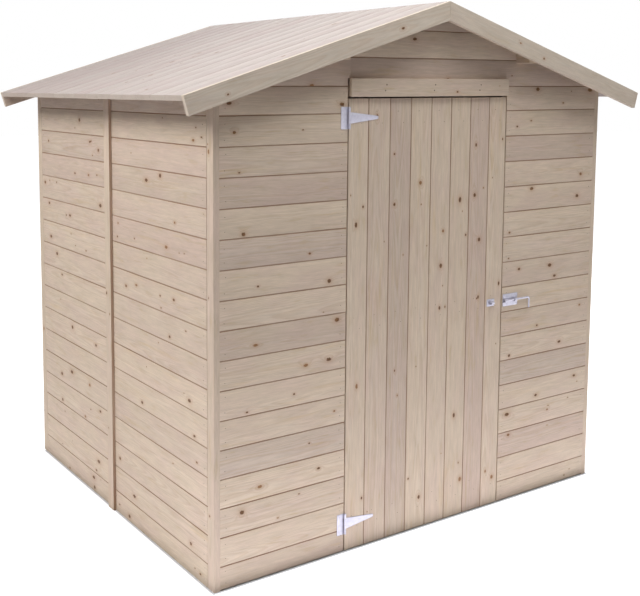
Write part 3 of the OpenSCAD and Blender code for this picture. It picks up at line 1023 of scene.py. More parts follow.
@dataclass
class Wall:
    """One clad wall: rows of matched boards between stops, cut to the roof's slope."""

    name: str
    nodes: tuple[str, ...]
    datum: Datum
    spans: tuple[tuple[float, float], ...]
    foot: float
    roof: RoofLine
    yard: TimberYard
    finishes: Finishes
    rows: WallRows = field(default_factory=WallRows)
    gabled: bool = False
    tones: dict[tuple[int, int], Tone] = field(default_factory=dict)
    stud: float = 0.022
    scatter: float = 2 * MM
    shortest: float = 20 * MM
    nail_shares: tuple[float, float] = (0.25, 0.75)
    nail_clear: float = 25 * MM

    def ridge_along(self) -> float:
        """Where the ridge stands on the wall's own along axis."""
        return (self.roof.ridge_x - self.datum.origin[0]) * self.datum.along[0]

    def under(self, along: np.ndarray) -> np.ndarray:
        """Height of the roof's underside on the wall's own along axis."""
        return self.roof.under(self.roof.ridge_x + np.abs(along - self.ridge_along()))

    def build(self) -> bpy.types.Object:
        """Lays every row and drives its nails."""
        piece = PieceMesh(self.name)
        layer = BoardLayer(piece, self.datum, self.yard)
        nails = PieceMesh(f"{self.name}_nails")
        driver = NailRow(nails)
        top = self.roof.ridge_z if self.gabled else float(self.roof.under(np.array(self.side_x())))
        for number, (low, high) in enumerate(self.rows.heights(self.foot, top)):
            for panel, span in enumerate(self.spans_at(low)):
                self.lay_row(layer, driver, number, panel, low, high, span)
        made = piece.made("shed", "cladding", self.finishes.cladding)
        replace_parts(made, *self.nodes)
        nails.made("shed", "zinc", self.finishes.nails)
        return made

    def side_x(self) -> float:
        """The x of the wall's face, for a side wall."""
        return self.datum.origin[0]

    def spans_at(self, low: float) -> tuple[tuple[float, float], ...]:
        """The stretches that a row covers."""
        return self.spans

    def lower_edge(self, low: float) -> tuple[Edge, Edge, tuple[float, ...]]:
        """A row's lower edge, where it is matched, and where either changes."""
        return level(low), level(float(low > self.foot)), ()

    def lay_row(
        self,
        layer: BoardLayer,
        driver: NailRow,
        number: int,
        panel: int,
        low: float,
        high: float,
        span: tuple[float, float],
    ) -> None:
        """Lays one board of a row.

        Args:
            layer: The layer that takes the board.
            driver: What drives its nails.
            number: The row, from the ground up.
            panel: The panel, from the wall's start.
            low: Height of the board's lower edge.
            high: Height of its upper edge.
            span: Where it starts and ends.
        """
        start, end = span
        lower, low_joint, breaks = self.lower_edge(low)
        upper, high_joint = level(high), level(1.0)
        lean = 0.0
        if self.gabled and high > float(np.min(self.under(np.array(span)))):
            tip = self.roof.reach(low + 3 * MM)
            middle = self.ridge_along()
            start, end = max(start, middle - tip), min(end, middle + tip)
            kink = self.roof.reach(high)
            breaks += (middle - kink, middle + kink) if kink > 0 else (middle,)

            def upper(along: np.ndarray) -> np.ndarray:
                """The row's top or the roof, whichever is lower."""
                return np.minimum(high, self.under(along))

            def high_joint(along: np.ndarray) -> np.ndarray:
                """1 where the row's own top lies under the roof."""
                return (self.under(along) > high).astype(float)

        elif not self.gabled and high >= float(self.roof.under(np.array(self.side_x()))) - MM:
            high_joint = level(0.0)
            lean = self.roof.rise
        if end - start < self.shortest:
            return
        character = self.yard.pick(end - start, high - low, self.tones.get((number, panel)), start)
        layer.lay(run_of(start, end, lower, upper, low_joint, high_joint, breaks), character, lean)
        across = low + np.array(self.nail_shares) * (high - low)
        posts = np.array([start + self.stud, end - self.stud])
        spots = np.array([(a, z) for a in posts for z in across if z < self.under_nail(a) - self.nail_clear])
        driver.drive(layer.datum, spots + self.yard.rng.normal(0, self.scatter, spots.shape))

    def under_nail(self, along: float) -> float:
        """Height below which a nail still meets the board."""
        return float(self.under(np.array(along))) if self.gabled else 10.0


@dataclass
class FrontWall(Wall):
    """The front wall, which is cut round the doorway and the header board."""

    way: tuple[float, float] = (0.0, 0.0)
    header: tuple[float, float] = (0.0, 0.0)
    header_top: float = 0.0
    door_head: float = 0.0
    slot_width: float = 6 * MM

    def spans_at(self, low: float) -> tuple[tuple[float, float], ...]:
        """The stretches left and right of the doorway, or the whole wall above it."""
        (start, end), = self.spans
        if low < self.rows.panel_top - MM:
            return (start, self.way[0]), (self.way[1], end)
        return ((start, end),)

    def lower_edge(self, low: float) -> tuple[Edge, Edge, tuple[float, ...]]:
        """Lifts the row above the doorway over the header board."""
        if abs(low - self.rows.panel_top) > MM:
            return super().lower_edge(low)
        left, right = self.way
        hidden = (self.header[0] + self.slot_width, self.header[1] - self.slot_width)

        def lower(along: np.ndarray) -> np.ndarray:
            """The door's head behind the header, its top beside its ends, or else the row's own edge."""
            edge = np.where((along > left) & (along < right), self.header_top, low)
            return np.where((along > hidden[0]) & (along < hidden[1]), self.door_head, edge)

        def matched(along: np.ndarray) -> np.ndarray:
            """0 over the header, where the board is sawn."""
            return np.where((along > left) & (along < right), 0.0, 1.0)

        return lower, matched, (left, right, *hidden)


# ---------------------------------------------------------------- sawn members

def islands(count: int, edges: np.ndarray) -> np.ndarray:
    """Labels the separate solids of a mesh: the lowest corner number spreads along the edges.

    Args:
        count: Number of corners.
        edges: Pairs of corners.
    """
    labels = np.arange(count)
    while True:
        lowest = np.minimum(labels[edges[:, 0]], labels[edges[:, 1]])
        spread = labels.copy()
        np.minimum.at(spread, edges[:, 0], lowest)
        np.minimum.at(spread, edges[:, 1], lowest)
        if (spread == labels).all():
            return labels
        labels = spread


@dataclass
class SawnTimber:
    """Square-sawn members: the frame's shapes with eased arrises and grain along each member."""

    nodes: tuple[str, ...]
    body: str
    slot: str
    material: bpy.types.Material
    yard: TimberYard
    ease: float = 1.3 * MM
    # faces of a node that look one way, darkened with the joint colour as painted shade where the light does
    # not reach
    darkened: dict[str, tuple[float, float, float]] = field(default_factory=dict)

    def build(self) -> list[bpy.types.Object]:
        """Makes one piece for each node."""
        return [self.member(node) for node in self.nodes]

    def member(self, node: str) -> bpy.types.Object:
        """Makes a node's members: its merged surface, with each solid's grain on its longest edge.

        Args:
            node: The CAD node.
        """
        points, faces, normals = self.whole_faces(node)
        pairs = np.array([(a, b) for f in faces for a, b in zip(f, f[1:] + f[:1])])
        labels = islands(len(points), pairs)
        values = {}
        ends = np.zeros(len(faces))
        first = np.array([f[0] for f in faces])
        for label in np.unique(labels):
            chosen = labels == label
            own = pairs[chosen[pairs[:, 0]]]
            spans = points[own[:, 1]] - points[own[:, 0]]
            axis = spans[np.argmax(np.linalg.norm(spans, axis=1))]
            axis = axis / np.linalg.norm(axis) * np.sign(axis[np.argmax(np.abs(axis))])
            local, width = self.own_axes(points[chosen], axis)
            length = float(np.ptp(local[:, 0]))
            character = self.yard.pick(length, width)
            for name, array in character.values(local).items():
                values.setdefault(name, np.zeros((len(points), 3)))[chosen] = array
            mine = chosen[first]
            ends[mine] = np.abs(normals[mine] @ axis) > 0.8
        # Painted shade: the darkened faces take the joint colour at three quarters, as a face turned away
        # from the lamps.
        painted_shade = np.zeros(len(faces))
        if node in self.darkened:
            painted_shade[normals @ np.array(self.darkened[node]) > 0.9] = 0.75
        piece = PieceMesh(f"{node}_timber")
        piece.add(points, faces, values, {"end_grain": ends, "joint": painted_shade})
        made = piece.made(self.body, self.slot, self.material)
        eased = made.modifiers.new("eased_arrises", "BEVEL")
        eased.width = self.ease
        eased.segments = 2
        eased.limit_method = "ANGLE"
        eased.angle_limit = math.radians(CRISP_EDGE)
        eased.harden_normals = True
        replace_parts(made, node)
        return made

    @staticmethod
    def whole_faces(node: str) -> tuple[np.ndarray, list[list[int]], np.ndarray]:
        """A node's surface with doubled corners merged and flat faces made whole.

        Args:
            node: The CAD node.

        Returns:
            Its points, faces and face normals.
        """
        shape = bmesh.new()
        shape.from_mesh(frame["nodes"][node].data)
        bmesh.ops.remove_doubles(shape, verts=shape.verts, dist=0.02 * MM)
        bmesh.ops.dissolve_limit(
            shape, angle_limit=math.radians(1), verts=shape.verts, edges=shape.edges
        )
        shape.verts.index_update()
        points = np.array([v.co for v in shape.verts])
        faces = [[v.index for v in f.verts] for f in shape.faces]
        normals = np.array([f.normal for f in shape.faces])
        shape.free()
        return points, faces, normals

    @staticmethod
    def own_axes(points: np.ndarray, axis: np.ndarray) -> tuple[np.ndarray, float]:
        """A member's points along its grain, across its wider side and through its narrower one.

        Args:
            points: The member's corners.
            axis: The way that its grain runs.

        Returns:
            The corners in the member's own axes, from its lowest ends, and its width.
        """
        helper = np.array([0.0, 1.0, 0.0]) if abs(axis[1]) < 0.9 else np.array([1.0, 0.0, 0.0])
        first = np.cross(helper, axis)
        first = first / np.linalg.norm(first)
        second = np.cross(axis, first)
        if np.ptp(points @ first) < np.ptp(points @ second):
            first, second = second, first
        local = points @ np.stack([axis, first, second], axis=1)
        local = local - local.min(axis=0)
        return local, float(np.ptp(local[:, 1]))


# ---------------------------------------------------------------- the door

@dataclass
class DoorLeaf:
    """The door's upright matched boards, nailed to its ledges."""

    yard: TimberYard
    finishes: Finishes
    first_cover: float = 0.094
    cover: float = 0.106
    tones: tuple[Tone, ...] = (
        Tone.YELLOW, Tone.BEIGE, Tone.BROWN, Tone.YELLOW, Tone.PALE, Tone.YELLOW, Tone.PINK, Tone.PALE
    )
    half_ledge: float = 45 * MM
    nail_drop: float = 22 * MM
    nail_side: float = 14 * MM

    def build(self) -> bpy.types.Object:
        """Lays the boards from the hinge side to the free side, running down from the door's top."""
        low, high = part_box("door_boards")
        datum = Datum((low.x, low.y, high.z), (0.0, 0.0, -1.0), (0.0, -1.0, 0.0))
        piece = PieceMesh("door_leaf_boards")
        nails = PieceMesh("door_leaf_nails")
        layer = BoardLayer(piece, datum, self.yard)
        driver = NailRow(nails)
        width = high.x - low.x
        length = high.z - low.z
        lines = [0.0, *np.arange(self.first_cover, width - 0.3 * self.cover, self.cover), width]
        ledge_low, ledge_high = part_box("door_ledges")
        middle = (ledge_low.z + ledge_high.z) / 2
        levels = high.z - np.array([ledge_high.z - self.half_ledge, middle, ledge_low.z + self.half_ledge])
        for number, (left, right) in enumerate(zip(lines[:-1], lines[1:])):
            run = run_of(
                0.0, length, level(left), level(right),
                level(float(number > 0)), level(float(right < width)),
            )
            tone = self.tones[number % len(self.tones)]
            layer.lay(run, self.yard.pick(length, right - left, tone))
            centre = (left + right) / 2
            spots = np.array([
                (drop + side * self.nail_drop, centre + side * self.nail_side)
                for drop in levels for side in (-1, 1)
            ])
            driver.drive(datum, spots)
        made = piece.made("door", "cladding", self.finishes.cladding)
        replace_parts(made, "door_boards")
        nails.made("door", "zinc", self.finishes.nails)
        return made


# ---------------------------------------------------------------- the roof

@dataclass
class RoofBoards:
    """The matched boards of both slopes, running from eave to ridge."""

    yard: TimberYard
    finishes: Finishes
    line: RoofLine
    thickness: float = DECK
    cover: float = 0.1087

    def build(self) -> list[bpy.types.Object]:
        """Lays both slopes.

        Returns:
            The left and the right slope's boards.
        """
        pitch = math.atan(self.line.rise)
        run, climb = math.cos(pitch), math.sin(pitch)
        made = []
        for side, node in ((1.0, "roof_deck_left"), (-1.0, "roof_deck_right")):
            low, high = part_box(node)
            eave = low.x if side > 0 else high.x
            near = low.y if side > 0 else high.y
            datum = Datum((eave, near, EAVE_TOP), (side * run, 0.0, climb), (-side * climb, 0.0, run))
            length = (high.x - low.x) / run
            made.append(self.slope(node, datum, length, high.y - low.y, math.tan(pitch)))
        return made

    def slope(self, node: str, datum: Datum, length: float, width: float, shear: float) -> bpy.types.Object:
        """Lays one slope.

        Args:
            node: The slope's CAD node.
            datum: Its corner at the eave and its axes.
            length: Its length from eave to ridge.
            width: Its width across the boards.
            shear: Tangent of the pitch, which makes the ridge cut upright.
        """
        piece = PieceMesh(f"{node}_boards")
        matching = Matching(thickness=self.thickness, chamfer=1.4 * MM, gap=0.3 * MM, arris=0.8 * MM)
        layer = BoardLayer(piece, datum, self.yard, matching, uneven=0.3 * MM)
        lines = [*np.arange(0.0, width - 0.3 * self.cover, self.cover), width]
        for left, right in zip(lines[:-1], lines[1:]):
            run = run_of(
                0.0, length, level(left), level(right), level(float(left > 0)), level(float(right < width))
            )
            layer.lay(run, self.yard.pick(length, right - left), end_shear=shear)
        made = piece.made("shed", "roof_boards", self.finishes.roof)
        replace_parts(made, node)
        return made


# ---------------------------------------------------------------- metal parts

def rounded(corners: list[tuple[float, float]], radius: float, steps: int = 5) -> np.ndarray:
    """A polygon with each corner replaced by an arc that touches both its sides.

    Args:
        corners: The polygon's corners in order.
        radius: Radius of the arcs.
        steps: Points on each arc.
    """
    here = np.array(corners)
    back = np.roll(here, 1, axis=0) - here
    ahead = np.roll(here, -1, axis=0) - here
    back = back / np.linalg.norm(back, axis=1)[:, None]
    ahead = ahead / np.linalg.norm(ahead, axis=1)[:, None]
    half = np.arccos(np.clip(np.einsum("ij,ij->i", back, ahead), -1, 1)) / 2
    middle = back + ahead
    middle = middle / np.linalg.norm(middle, axis=1)[:, None]
    centre = here + middle * (radius / np.sin(half))[:, None]
    first = centre - here - back * (radius / np.tan(half))[:, None]
    last = centre - here - ahead * (radius / np.tan(half))[:, None]
    share = np.linspace(0, 1, steps)[None, :, None]
    arc = -first[:, None] * (1 - share) - last[:, None] * share
    arc = arc / np.linalg.norm(arc, axis=2)[..., None] * radius
    return (centre[:, None] + arc).reshape(-1, 2)


def shrunk(outline: np.ndarray, amount: float) -> np.ndarray:
    """An outline moved inwards: each point goes against the mean of its two sides' normals."""
    side = np.roll(outline, -1, axis=0) - outline
    normal = np.stack([side[:, 1], -side[:, 0]], axis=1)
    normal = normal / np.maximum(np.linalg.norm(normal, axis=1), 1e-12)[:, None]
    both = normal + np.roll(normal, 1, axis=0)
    both = both / np.maximum(np.linalg.norm(both, axis=1), 1e-12)[:, None]
    ahead = np.roll(outline, -1, axis=0)
    turn = np.sign(np.sum(outline[:, 0] * ahead[:, 1] - ahead[:, 0] * outline[:, 1]))
    return outline - both * amount * turn


@dataclass
class MetalWork:
    """Pressed and turned metal in front of a wall: x runs along it, z up and y into it."""

    piece: PieceMesh
    face_y: float

    def plate(self, outline: np.ndarray, thickness: float, ease: float = 0.5 * MM) -> None:
        """A pressed plate on the wall's face with an eased front edge.

        Args:
            outline: Its outline in x and z.
            thickness: Its thickness.
            ease: Width of the eased edge.
        """
        part = 0.3 * ease
        levels = [(0.0, 0.0), (thickness - ease, 0.0), (thickness - part, part), (thickness, ease)]
        rings = [
            np.column_stack([ring[:, 0], np.full(len(ring), self.face_y - out), ring[:, 1]])
            for out, ring in ((out, shrunk(outline, inset)) for out, inset in levels)
        ]
        self.closed(np.stack(rings))

    def rectangle(
        self, low: tuple[float, float], high: tuple[float, float], radius: float, thickness: float
    ) -> None:
        """A pressed oblong plate.

        Args:
            low: Its lower left corner in x and z.
            high: Its upper right corner.
            radius: Radius of its corners.
            thickness: Its thickness.
        """
        (left, foot), (right, head) = low, high
        self.plate(rounded([(left, foot), (right, foot), (right, head), (left, head)], radius), thickness)

    def closed(self, rings: np.ndarray) -> None:
        """Adds a closed surface from its rings."""
        faces, _, _ = carried(rings)
        self.piece.add(rings.reshape(-1, 3), faces)

    def upright(self, outline: np.ndarray, low: float, high: float, ease: float = 0.4 * MM) -> None:
        """A profile in x and y carried upward, with eased ends.

        Args:
            outline: The profile.
            low: Height of its foot.
            high: Height of its top.
            ease: Width of the eased ends.
        """
        levels = [(low, ease), (low + ease, 0.0), (high - ease, 0.0), (high, ease)]
        self.closed(np.stack([
            np.column_stack([shrunk(outline, inset), np.full(len(outline), z)]) for z, inset in levels
        ]))

    def turned(self, x: float, y: float, profile: list[tuple[float, float]], sides: int = 24) -> None:
        """A shape turned about an upright axis: rings of the profile's radii at its heights.

        Args:
            x: Place of the axis.
            y: Place of the axis.
            profile: Pairs of radius and height, from the foot up.
            sides: Number of sides.
        """
        turn = np.linspace(0, 2 * math.pi, sides, endpoint=False)
        self.closed(np.stack([
            np.column_stack([x + r * np.cos(turn), y + r * np.sin(turn), np.full(sides, z)])
            for r, z in profile
        ]))

    def screw(self, x: float, z: float, out: float, turned: float, radius: float = 3.4 * MM) -> None:
        """A countersunk screw head with a cross recess.

        The head is rings of falling radius; the recess is the outline of a cross, whose radius at
        an angle a from the nearest arm is the lesser of L / cos(a) and w / sin(a).

        Args:
            x: Its place along the wall.
            z: Its height.
            out: How far the metal's face stands off the wall.
            turned: The angle of its cross.
            radius: Radius of its head.
        """
        turn = np.linspace(0, 2 * math.pi, SCREW_POINTS, endpoint=False)
        near = np.abs((turn + math.pi / 4) % (math.pi / 2) - math.pi / 4)
        cross = np.minimum(0.52 * radius / np.cos(near), 0.13 * radius / np.maximum(np.sin(near), 1e-3))
        even = np.full_like(turn, radius)
        levels = [
            (even, -0.6 * MM), (even, 0.08 * MM), (0.94 * even, 0.22 * MM), (0.75 * even, 0.34 * MM),
            (cross * 1.12, 0.36 * MM), (cross, 0.2 * MM), (0.7 * cross, -0.5 * MM),
        ]
        self.closed(np.stack([
            np.column_stack([
                x + ring * np.cos(turn + turned),
                np.full_like(turn, self.face_y - out - height),
                z + ring * np.sin(turn + turned),
            ]) for ring, height in levels
        ]))

    def swept(self, path: np.ndarray, radii: np.ndarray, sides: int = 20) -> None:
        """A round bar along a path in an upright plane that faces the wall.

        Each ring stands square to the path's local direction, found from its neighbours.

        Args:
            path: The path's points.
            radii: The bar's radius at each of them.
            sides: Number of sides.
        """
        way = np.gradient(path, axis=0)
        way = way / np.linalg.norm(way, axis=1)[:, None]
        across = np.cross(way, np.array([0.0, 1.0, 0.0]))
        turn = np.linspace(0, 2 * math.pi, sides, endpoint=False)
        spread = across[:, None] * np.cos(turn)[:, None] + np.array([0.0, 1.0, 0.0]) * np.sin(turn)[:, None]
        self.closed(path[:, None] + spread * radii[:, None, None])


@dataclass
class TeeHinge:
    """A T-hinge: a plate on the wall, rolled knuckles round a pin, and a tapering strap."""

    name: str
    plate_node: str
    strap_node: str
    pin: tuple[float, float]
    face_y: float
    zinc: bpy.types.Material
    thickness: float = 2 * MM
    knuckle: float = 4.8 * MM
    gap: float = 0.6 * MM
    pin_head: float = 2.9 * MM
    corner: float = 2.5 * MM
    neck: float = 12 * MM
    half_tip: float = 5.5 * MM
    strap_corner: float = 2.2 * MM
    tuck: float = 3 * MM
    shoulder: float = 4 * MM

    def rolled(self, end_x: float) -> np.ndarray:
        """Profile of a rolled knuckle: the sheet runs from end_x along the wall and curls round the pin.

        Args:
            end_x: Where the sheet starts, left of the pin.
        """
        x, y = self.pin
        curl = math.asin((self.face_y - self.thickness - y) / self.knuckle)
        turn = np.linspace(math.pi / 2, -math.pi - curl, 22)
        ring = np.column_stack([x + self.knuckle * np.cos(turn), y + self.knuckle * np.sin(turn)])
        return np.vstack([[end_x, self.face_y], ring, [end_x, self.face_y - self.thickness]])

    def build(self) -> None:
        """Makes the wall's leaf with the pin, and the strap that rides on the door."""
        low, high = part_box(self.plate_node)
        root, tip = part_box(self.strap_node)
        x, y = self.pin
        leaf = MetalWork(PieceMesh(f"{self.name}_leaf"), self.face_y)
        end_x = x - self.knuckle - self.gap
        leaf.rectangle((low.x, low.z), (end_x, high.z), self.corner, self.thickness)
        for foot, top in ((low.z + self.gap, root.z - self.gap), (tip.z + self.gap, high.z - self.gap)):
            leaf.upright(self.rolled(end_x - MM), foot, top)
        head = [(0.6 * self.pin_head, 0.0), (self.pin_head, 0.5 * MM), (0.85 * self.pin_head, 1.2 * MM)]
        foot_end = [(radius, low.z + rise) for radius, rise in head]
        top_end = [(radius, high.z - rise) for radius, rise in reversed(head)]
        leaf.turned(x, y, foot_end + top_end)
        middle = (low.x + end_x) / 2
        width, height = end_x - low.x, high.z - low.z
        for number, (side, rise) in enumerate(((-0.15, 0.36), (0.15, 0.0), (-0.15, -0.36))):
            screw_z = (low.z + high.z) / 2 + rise * height
            leaf.screw(middle + side * width, screw_z, self.thickness, 0.5 * number)
        made = leaf.piece.made("shed", "zinc", self.zinc)
        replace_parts(made, self.plate_node)
        self.strap(root, tip)

    def strap(self, root: object, tip: object) -> None:
        """Makes the strap and its knuckle.

        Args:
            root: The strap's lower corner.
            tip: Its upper corner.
        """
        x, _ = self.pin
        middle, half = (root.z + tip.z) / 2, (tip.z - root.z) / 2
        start = x + self.knuckle + self.gap
        work = MetalWork(PieceMesh(f"{self.name}_strap"), self.face_y)
        neck = start + self.neck
        outline = rounded([
            (start - self.tuck, middle - half), (neck - self.shoulder, middle - half),
            (tip.x, middle - self.half_tip), (tip.x, middle + self.half_tip),
            (neck - self.shoulder, middle + half), (start - self.tuck, middle + half),
        ], self.strap_corner)
        work.plate(outline, self.thickness)
        profile = self.rolled(2 * x - start - 2 * MM)
        profile[:, 0] = 2 * x - profile[:, 0]
        work.upright(profile[::-1], root.z, tip.z)
        length = tip.x - neck
        for number, share in enumerate((0.06, 0.44, 0.88)):
            radius = (3.4 - 0.5 * share) * MM
            work.screw(neck + share * length, middle, self.thickness, 0.7 * number, radius)
        made = work.piece.made("door", "zinc", self.zinc)
        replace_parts(made, self.strap_node)


@dataclass
class SlideBolt:
    """A slide bolt: plate with two bridges on the wall, keep on the door, and a bent rod.

    Each row of screws holds three distances: in from the left end, in from the right end, and up
    or down from the rod. The keep's bridge is set in from the same two ends.
    """

    zinc: bpy.types.Material
    face_y: float
    rod: float = 4 * MM
    bridge: float = 7 * MM
    thickness: float = 2 * MM
    sheet: float = 1.6 * MM
    bridge_width: float = 12 * MM
    handle: float = 3.5 * MM
    clear: float = 5 * MM
    bedded: float = 0.3 * MM
    bridge_foot: float = 5 * MM
    plate_corner: float = 4 * MM
    plate_screws: tuple[float, float, float] = (24 * MM, 8 * MM, 17 * MM)
    keep_corner: float = 3 * MM
    keep_screws: tuple[float, float, float] = (7 * MM, 6 * MM, 9 * MM)
    keep_bridge: tuple[float, float] = (15 * MM, 13 * MM)
    plate_screw_radius: float = 3.1 * MM
    keep_screw_radius: float = 2.8 * MM

    def rod_box(self) -> tuple[object, object]:
        """The rod's box."""
        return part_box("bolt_rod")

    def axis(self) -> tuple[float, float]:
        """The rod's place off the wall and its height."""
        low, high = self.rod_box()
        return low.y + self.rod, high.z - self.rod

    def bridge_profile(self) -> np.ndarray:
        """Profile of a bridge in y and z: two feet, two legs and a half round over the rod."""
        y, z = self.axis()
        turn = np.linspace(0, math.pi, 15)
        outer = np.column_stack([y - self.bridge * np.sin(turn), z + self.bridge * np.cos(turn)])
        bore = self.bridge - self.sheet
        inner = np.column_stack([y - bore * np.sin(turn), z + bore * np.cos(turn)])[::-1]
        seat = self.face_y - self.thickness + self.bedded
        top = seat - self.sheet
        reach = self.bridge + self.bridge_foot
        return np.vstack([
            [[seat, z + reach], [top, z + reach], [top, z + self.bridge]], outer,
            [[top, z - self.bridge], [top, z - reach], [seat, z - reach], [seat, z - bore]], inner,
            [[seat, z + bore]],
        ])

    def span(self, work: MetalWork, start: float, end: float) -> None:
        """Carries the bridge's profile from start to end.

        Args:
            work: What takes the bridge.
            start: Its left end.
            end: Its right end.
        """
        profile = self.bridge_profile()
        ring = np.column_stack([np.zeros(len(profile)), profile])
        work.closed(np.stack([ring + np.array([x, 0.0, 0.0]) for x in (start, end)]))

    def build(self) -> None:
        """Makes the plate, the keep and the rod."""
        _, z = self.axis()
        low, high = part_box("bolt_plate")
        plate = MetalWork(PieceMesh("slide_bolt_plate"), self.face_y)
        plate.rectangle((low.x, low.z), (high.x, high.z), self.plate_corner, self.thickness)
        second = self.second_bridge()
        for start in (low.x, second):
            self.span(plate, start, start + self.bridge_width)
        left, right, off = self.plate_screws
        screws = [(x, side * off) for x in (low.x + left, high.x - right) for side in (1, -1)]
        for number, (x, rise) in enumerate(screws):
            plate.screw(x, z + rise, self.thickness, 0.4 * number, self.plate_screw_radius)
        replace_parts(plate.piece.made("shed", "zinc", self.zinc), "bolt_plate")

        low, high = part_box("bolt_keep")
        keep = MetalWork(PieceMesh("slide_bolt_keep"), self.face_y)
        keep.rectangle((low.x, low.z), (high.x, high.z), self.keep_corner, self.thickness)
        left, right = self.keep_bridge
        self.span(keep, low.x + left, high.x - right)
        left, right, off = self.keep_screws
        for number, x in enumerate((low.x + left, high.x - right)):
            for rise, turned in ((off, 0.3), (-off, 0.9)):
                keep.screw(x, z + rise, self.thickness, turned + number, self.keep_screw_radius)
        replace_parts(keep.piece.made("door", "zinc", self.zinc), "bolt_keep")
        self.bent_rod()

    def second_bridge(self) -> float:
        """Where the bridge beside the handle starts: clear of the handle when the bolt is shot."""
        _, high = self.rod_box()
        return high.x - self.rod - self.throw() - self.handle - self.clear - self.bridge_width

    @staticmethod
    def throw() -> float:
        """The bolt's travel."""
        return max(joint["range_m"][1] for joint in frame["joints"] if joint.get("range_m"))

    def bent_rod(self, bend: float = 8 * MM) -> None:
        """Makes the rod: straight, bent down a quarter turn, and straight to the handle's end.

        Args:
            bend: Radius of the bend.
        """
        low, high = self.rod_box()
        y, z = self.axis()
        corner = high.x - self.rod
        turn = np.linspace(math.pi / 2, 0, 9)
        straight = np.array([low.x, low.x + 0.5 * MM, low.x + 1.6 * MM, low.x + 3 * MM])
        drop = np.array([low.z + 3 * MM, low.z + 1.6 * MM, low.z + 0.5 * MM, low.z])
        along = np.concatenate([straight, corner - bend + bend * np.cos(turn), np.full(len(drop), corner)])
        rise = np.concatenate([np.full(len(straight), z), z - bend + bend * np.sin(turn), drop])
        path = np.column_stack([along, np.full(len(along), y), rise])
        slim = 0.87
        taper = np.linspace(1.0, slim, len(turn))
        radii = self.rod * np.concatenate([[0.5, 0.8, 1.0, 1.0], taper, [slim, slim, 0.7, 0.4]])
        work = MetalWork(PieceMesh("slide_bolt_rod"), self.face_y)
        work.swept(path, radii)
        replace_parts(work.piece.made("bolt", "zinc", self.zinc), "bolt_rod")


# ---------------------------------------------------------------- the stage

@dataclass(frozen=True)
class Lamp:
    """A soft lamp: its power in watts, colour, width and height, where it hangs and what it lights."""

    name: str
    power: float
    colour: tuple[float, float, float]
    size: tuple[float, float]
    place: tuple[float, float, float]
    aim: tuple[float, float, float]


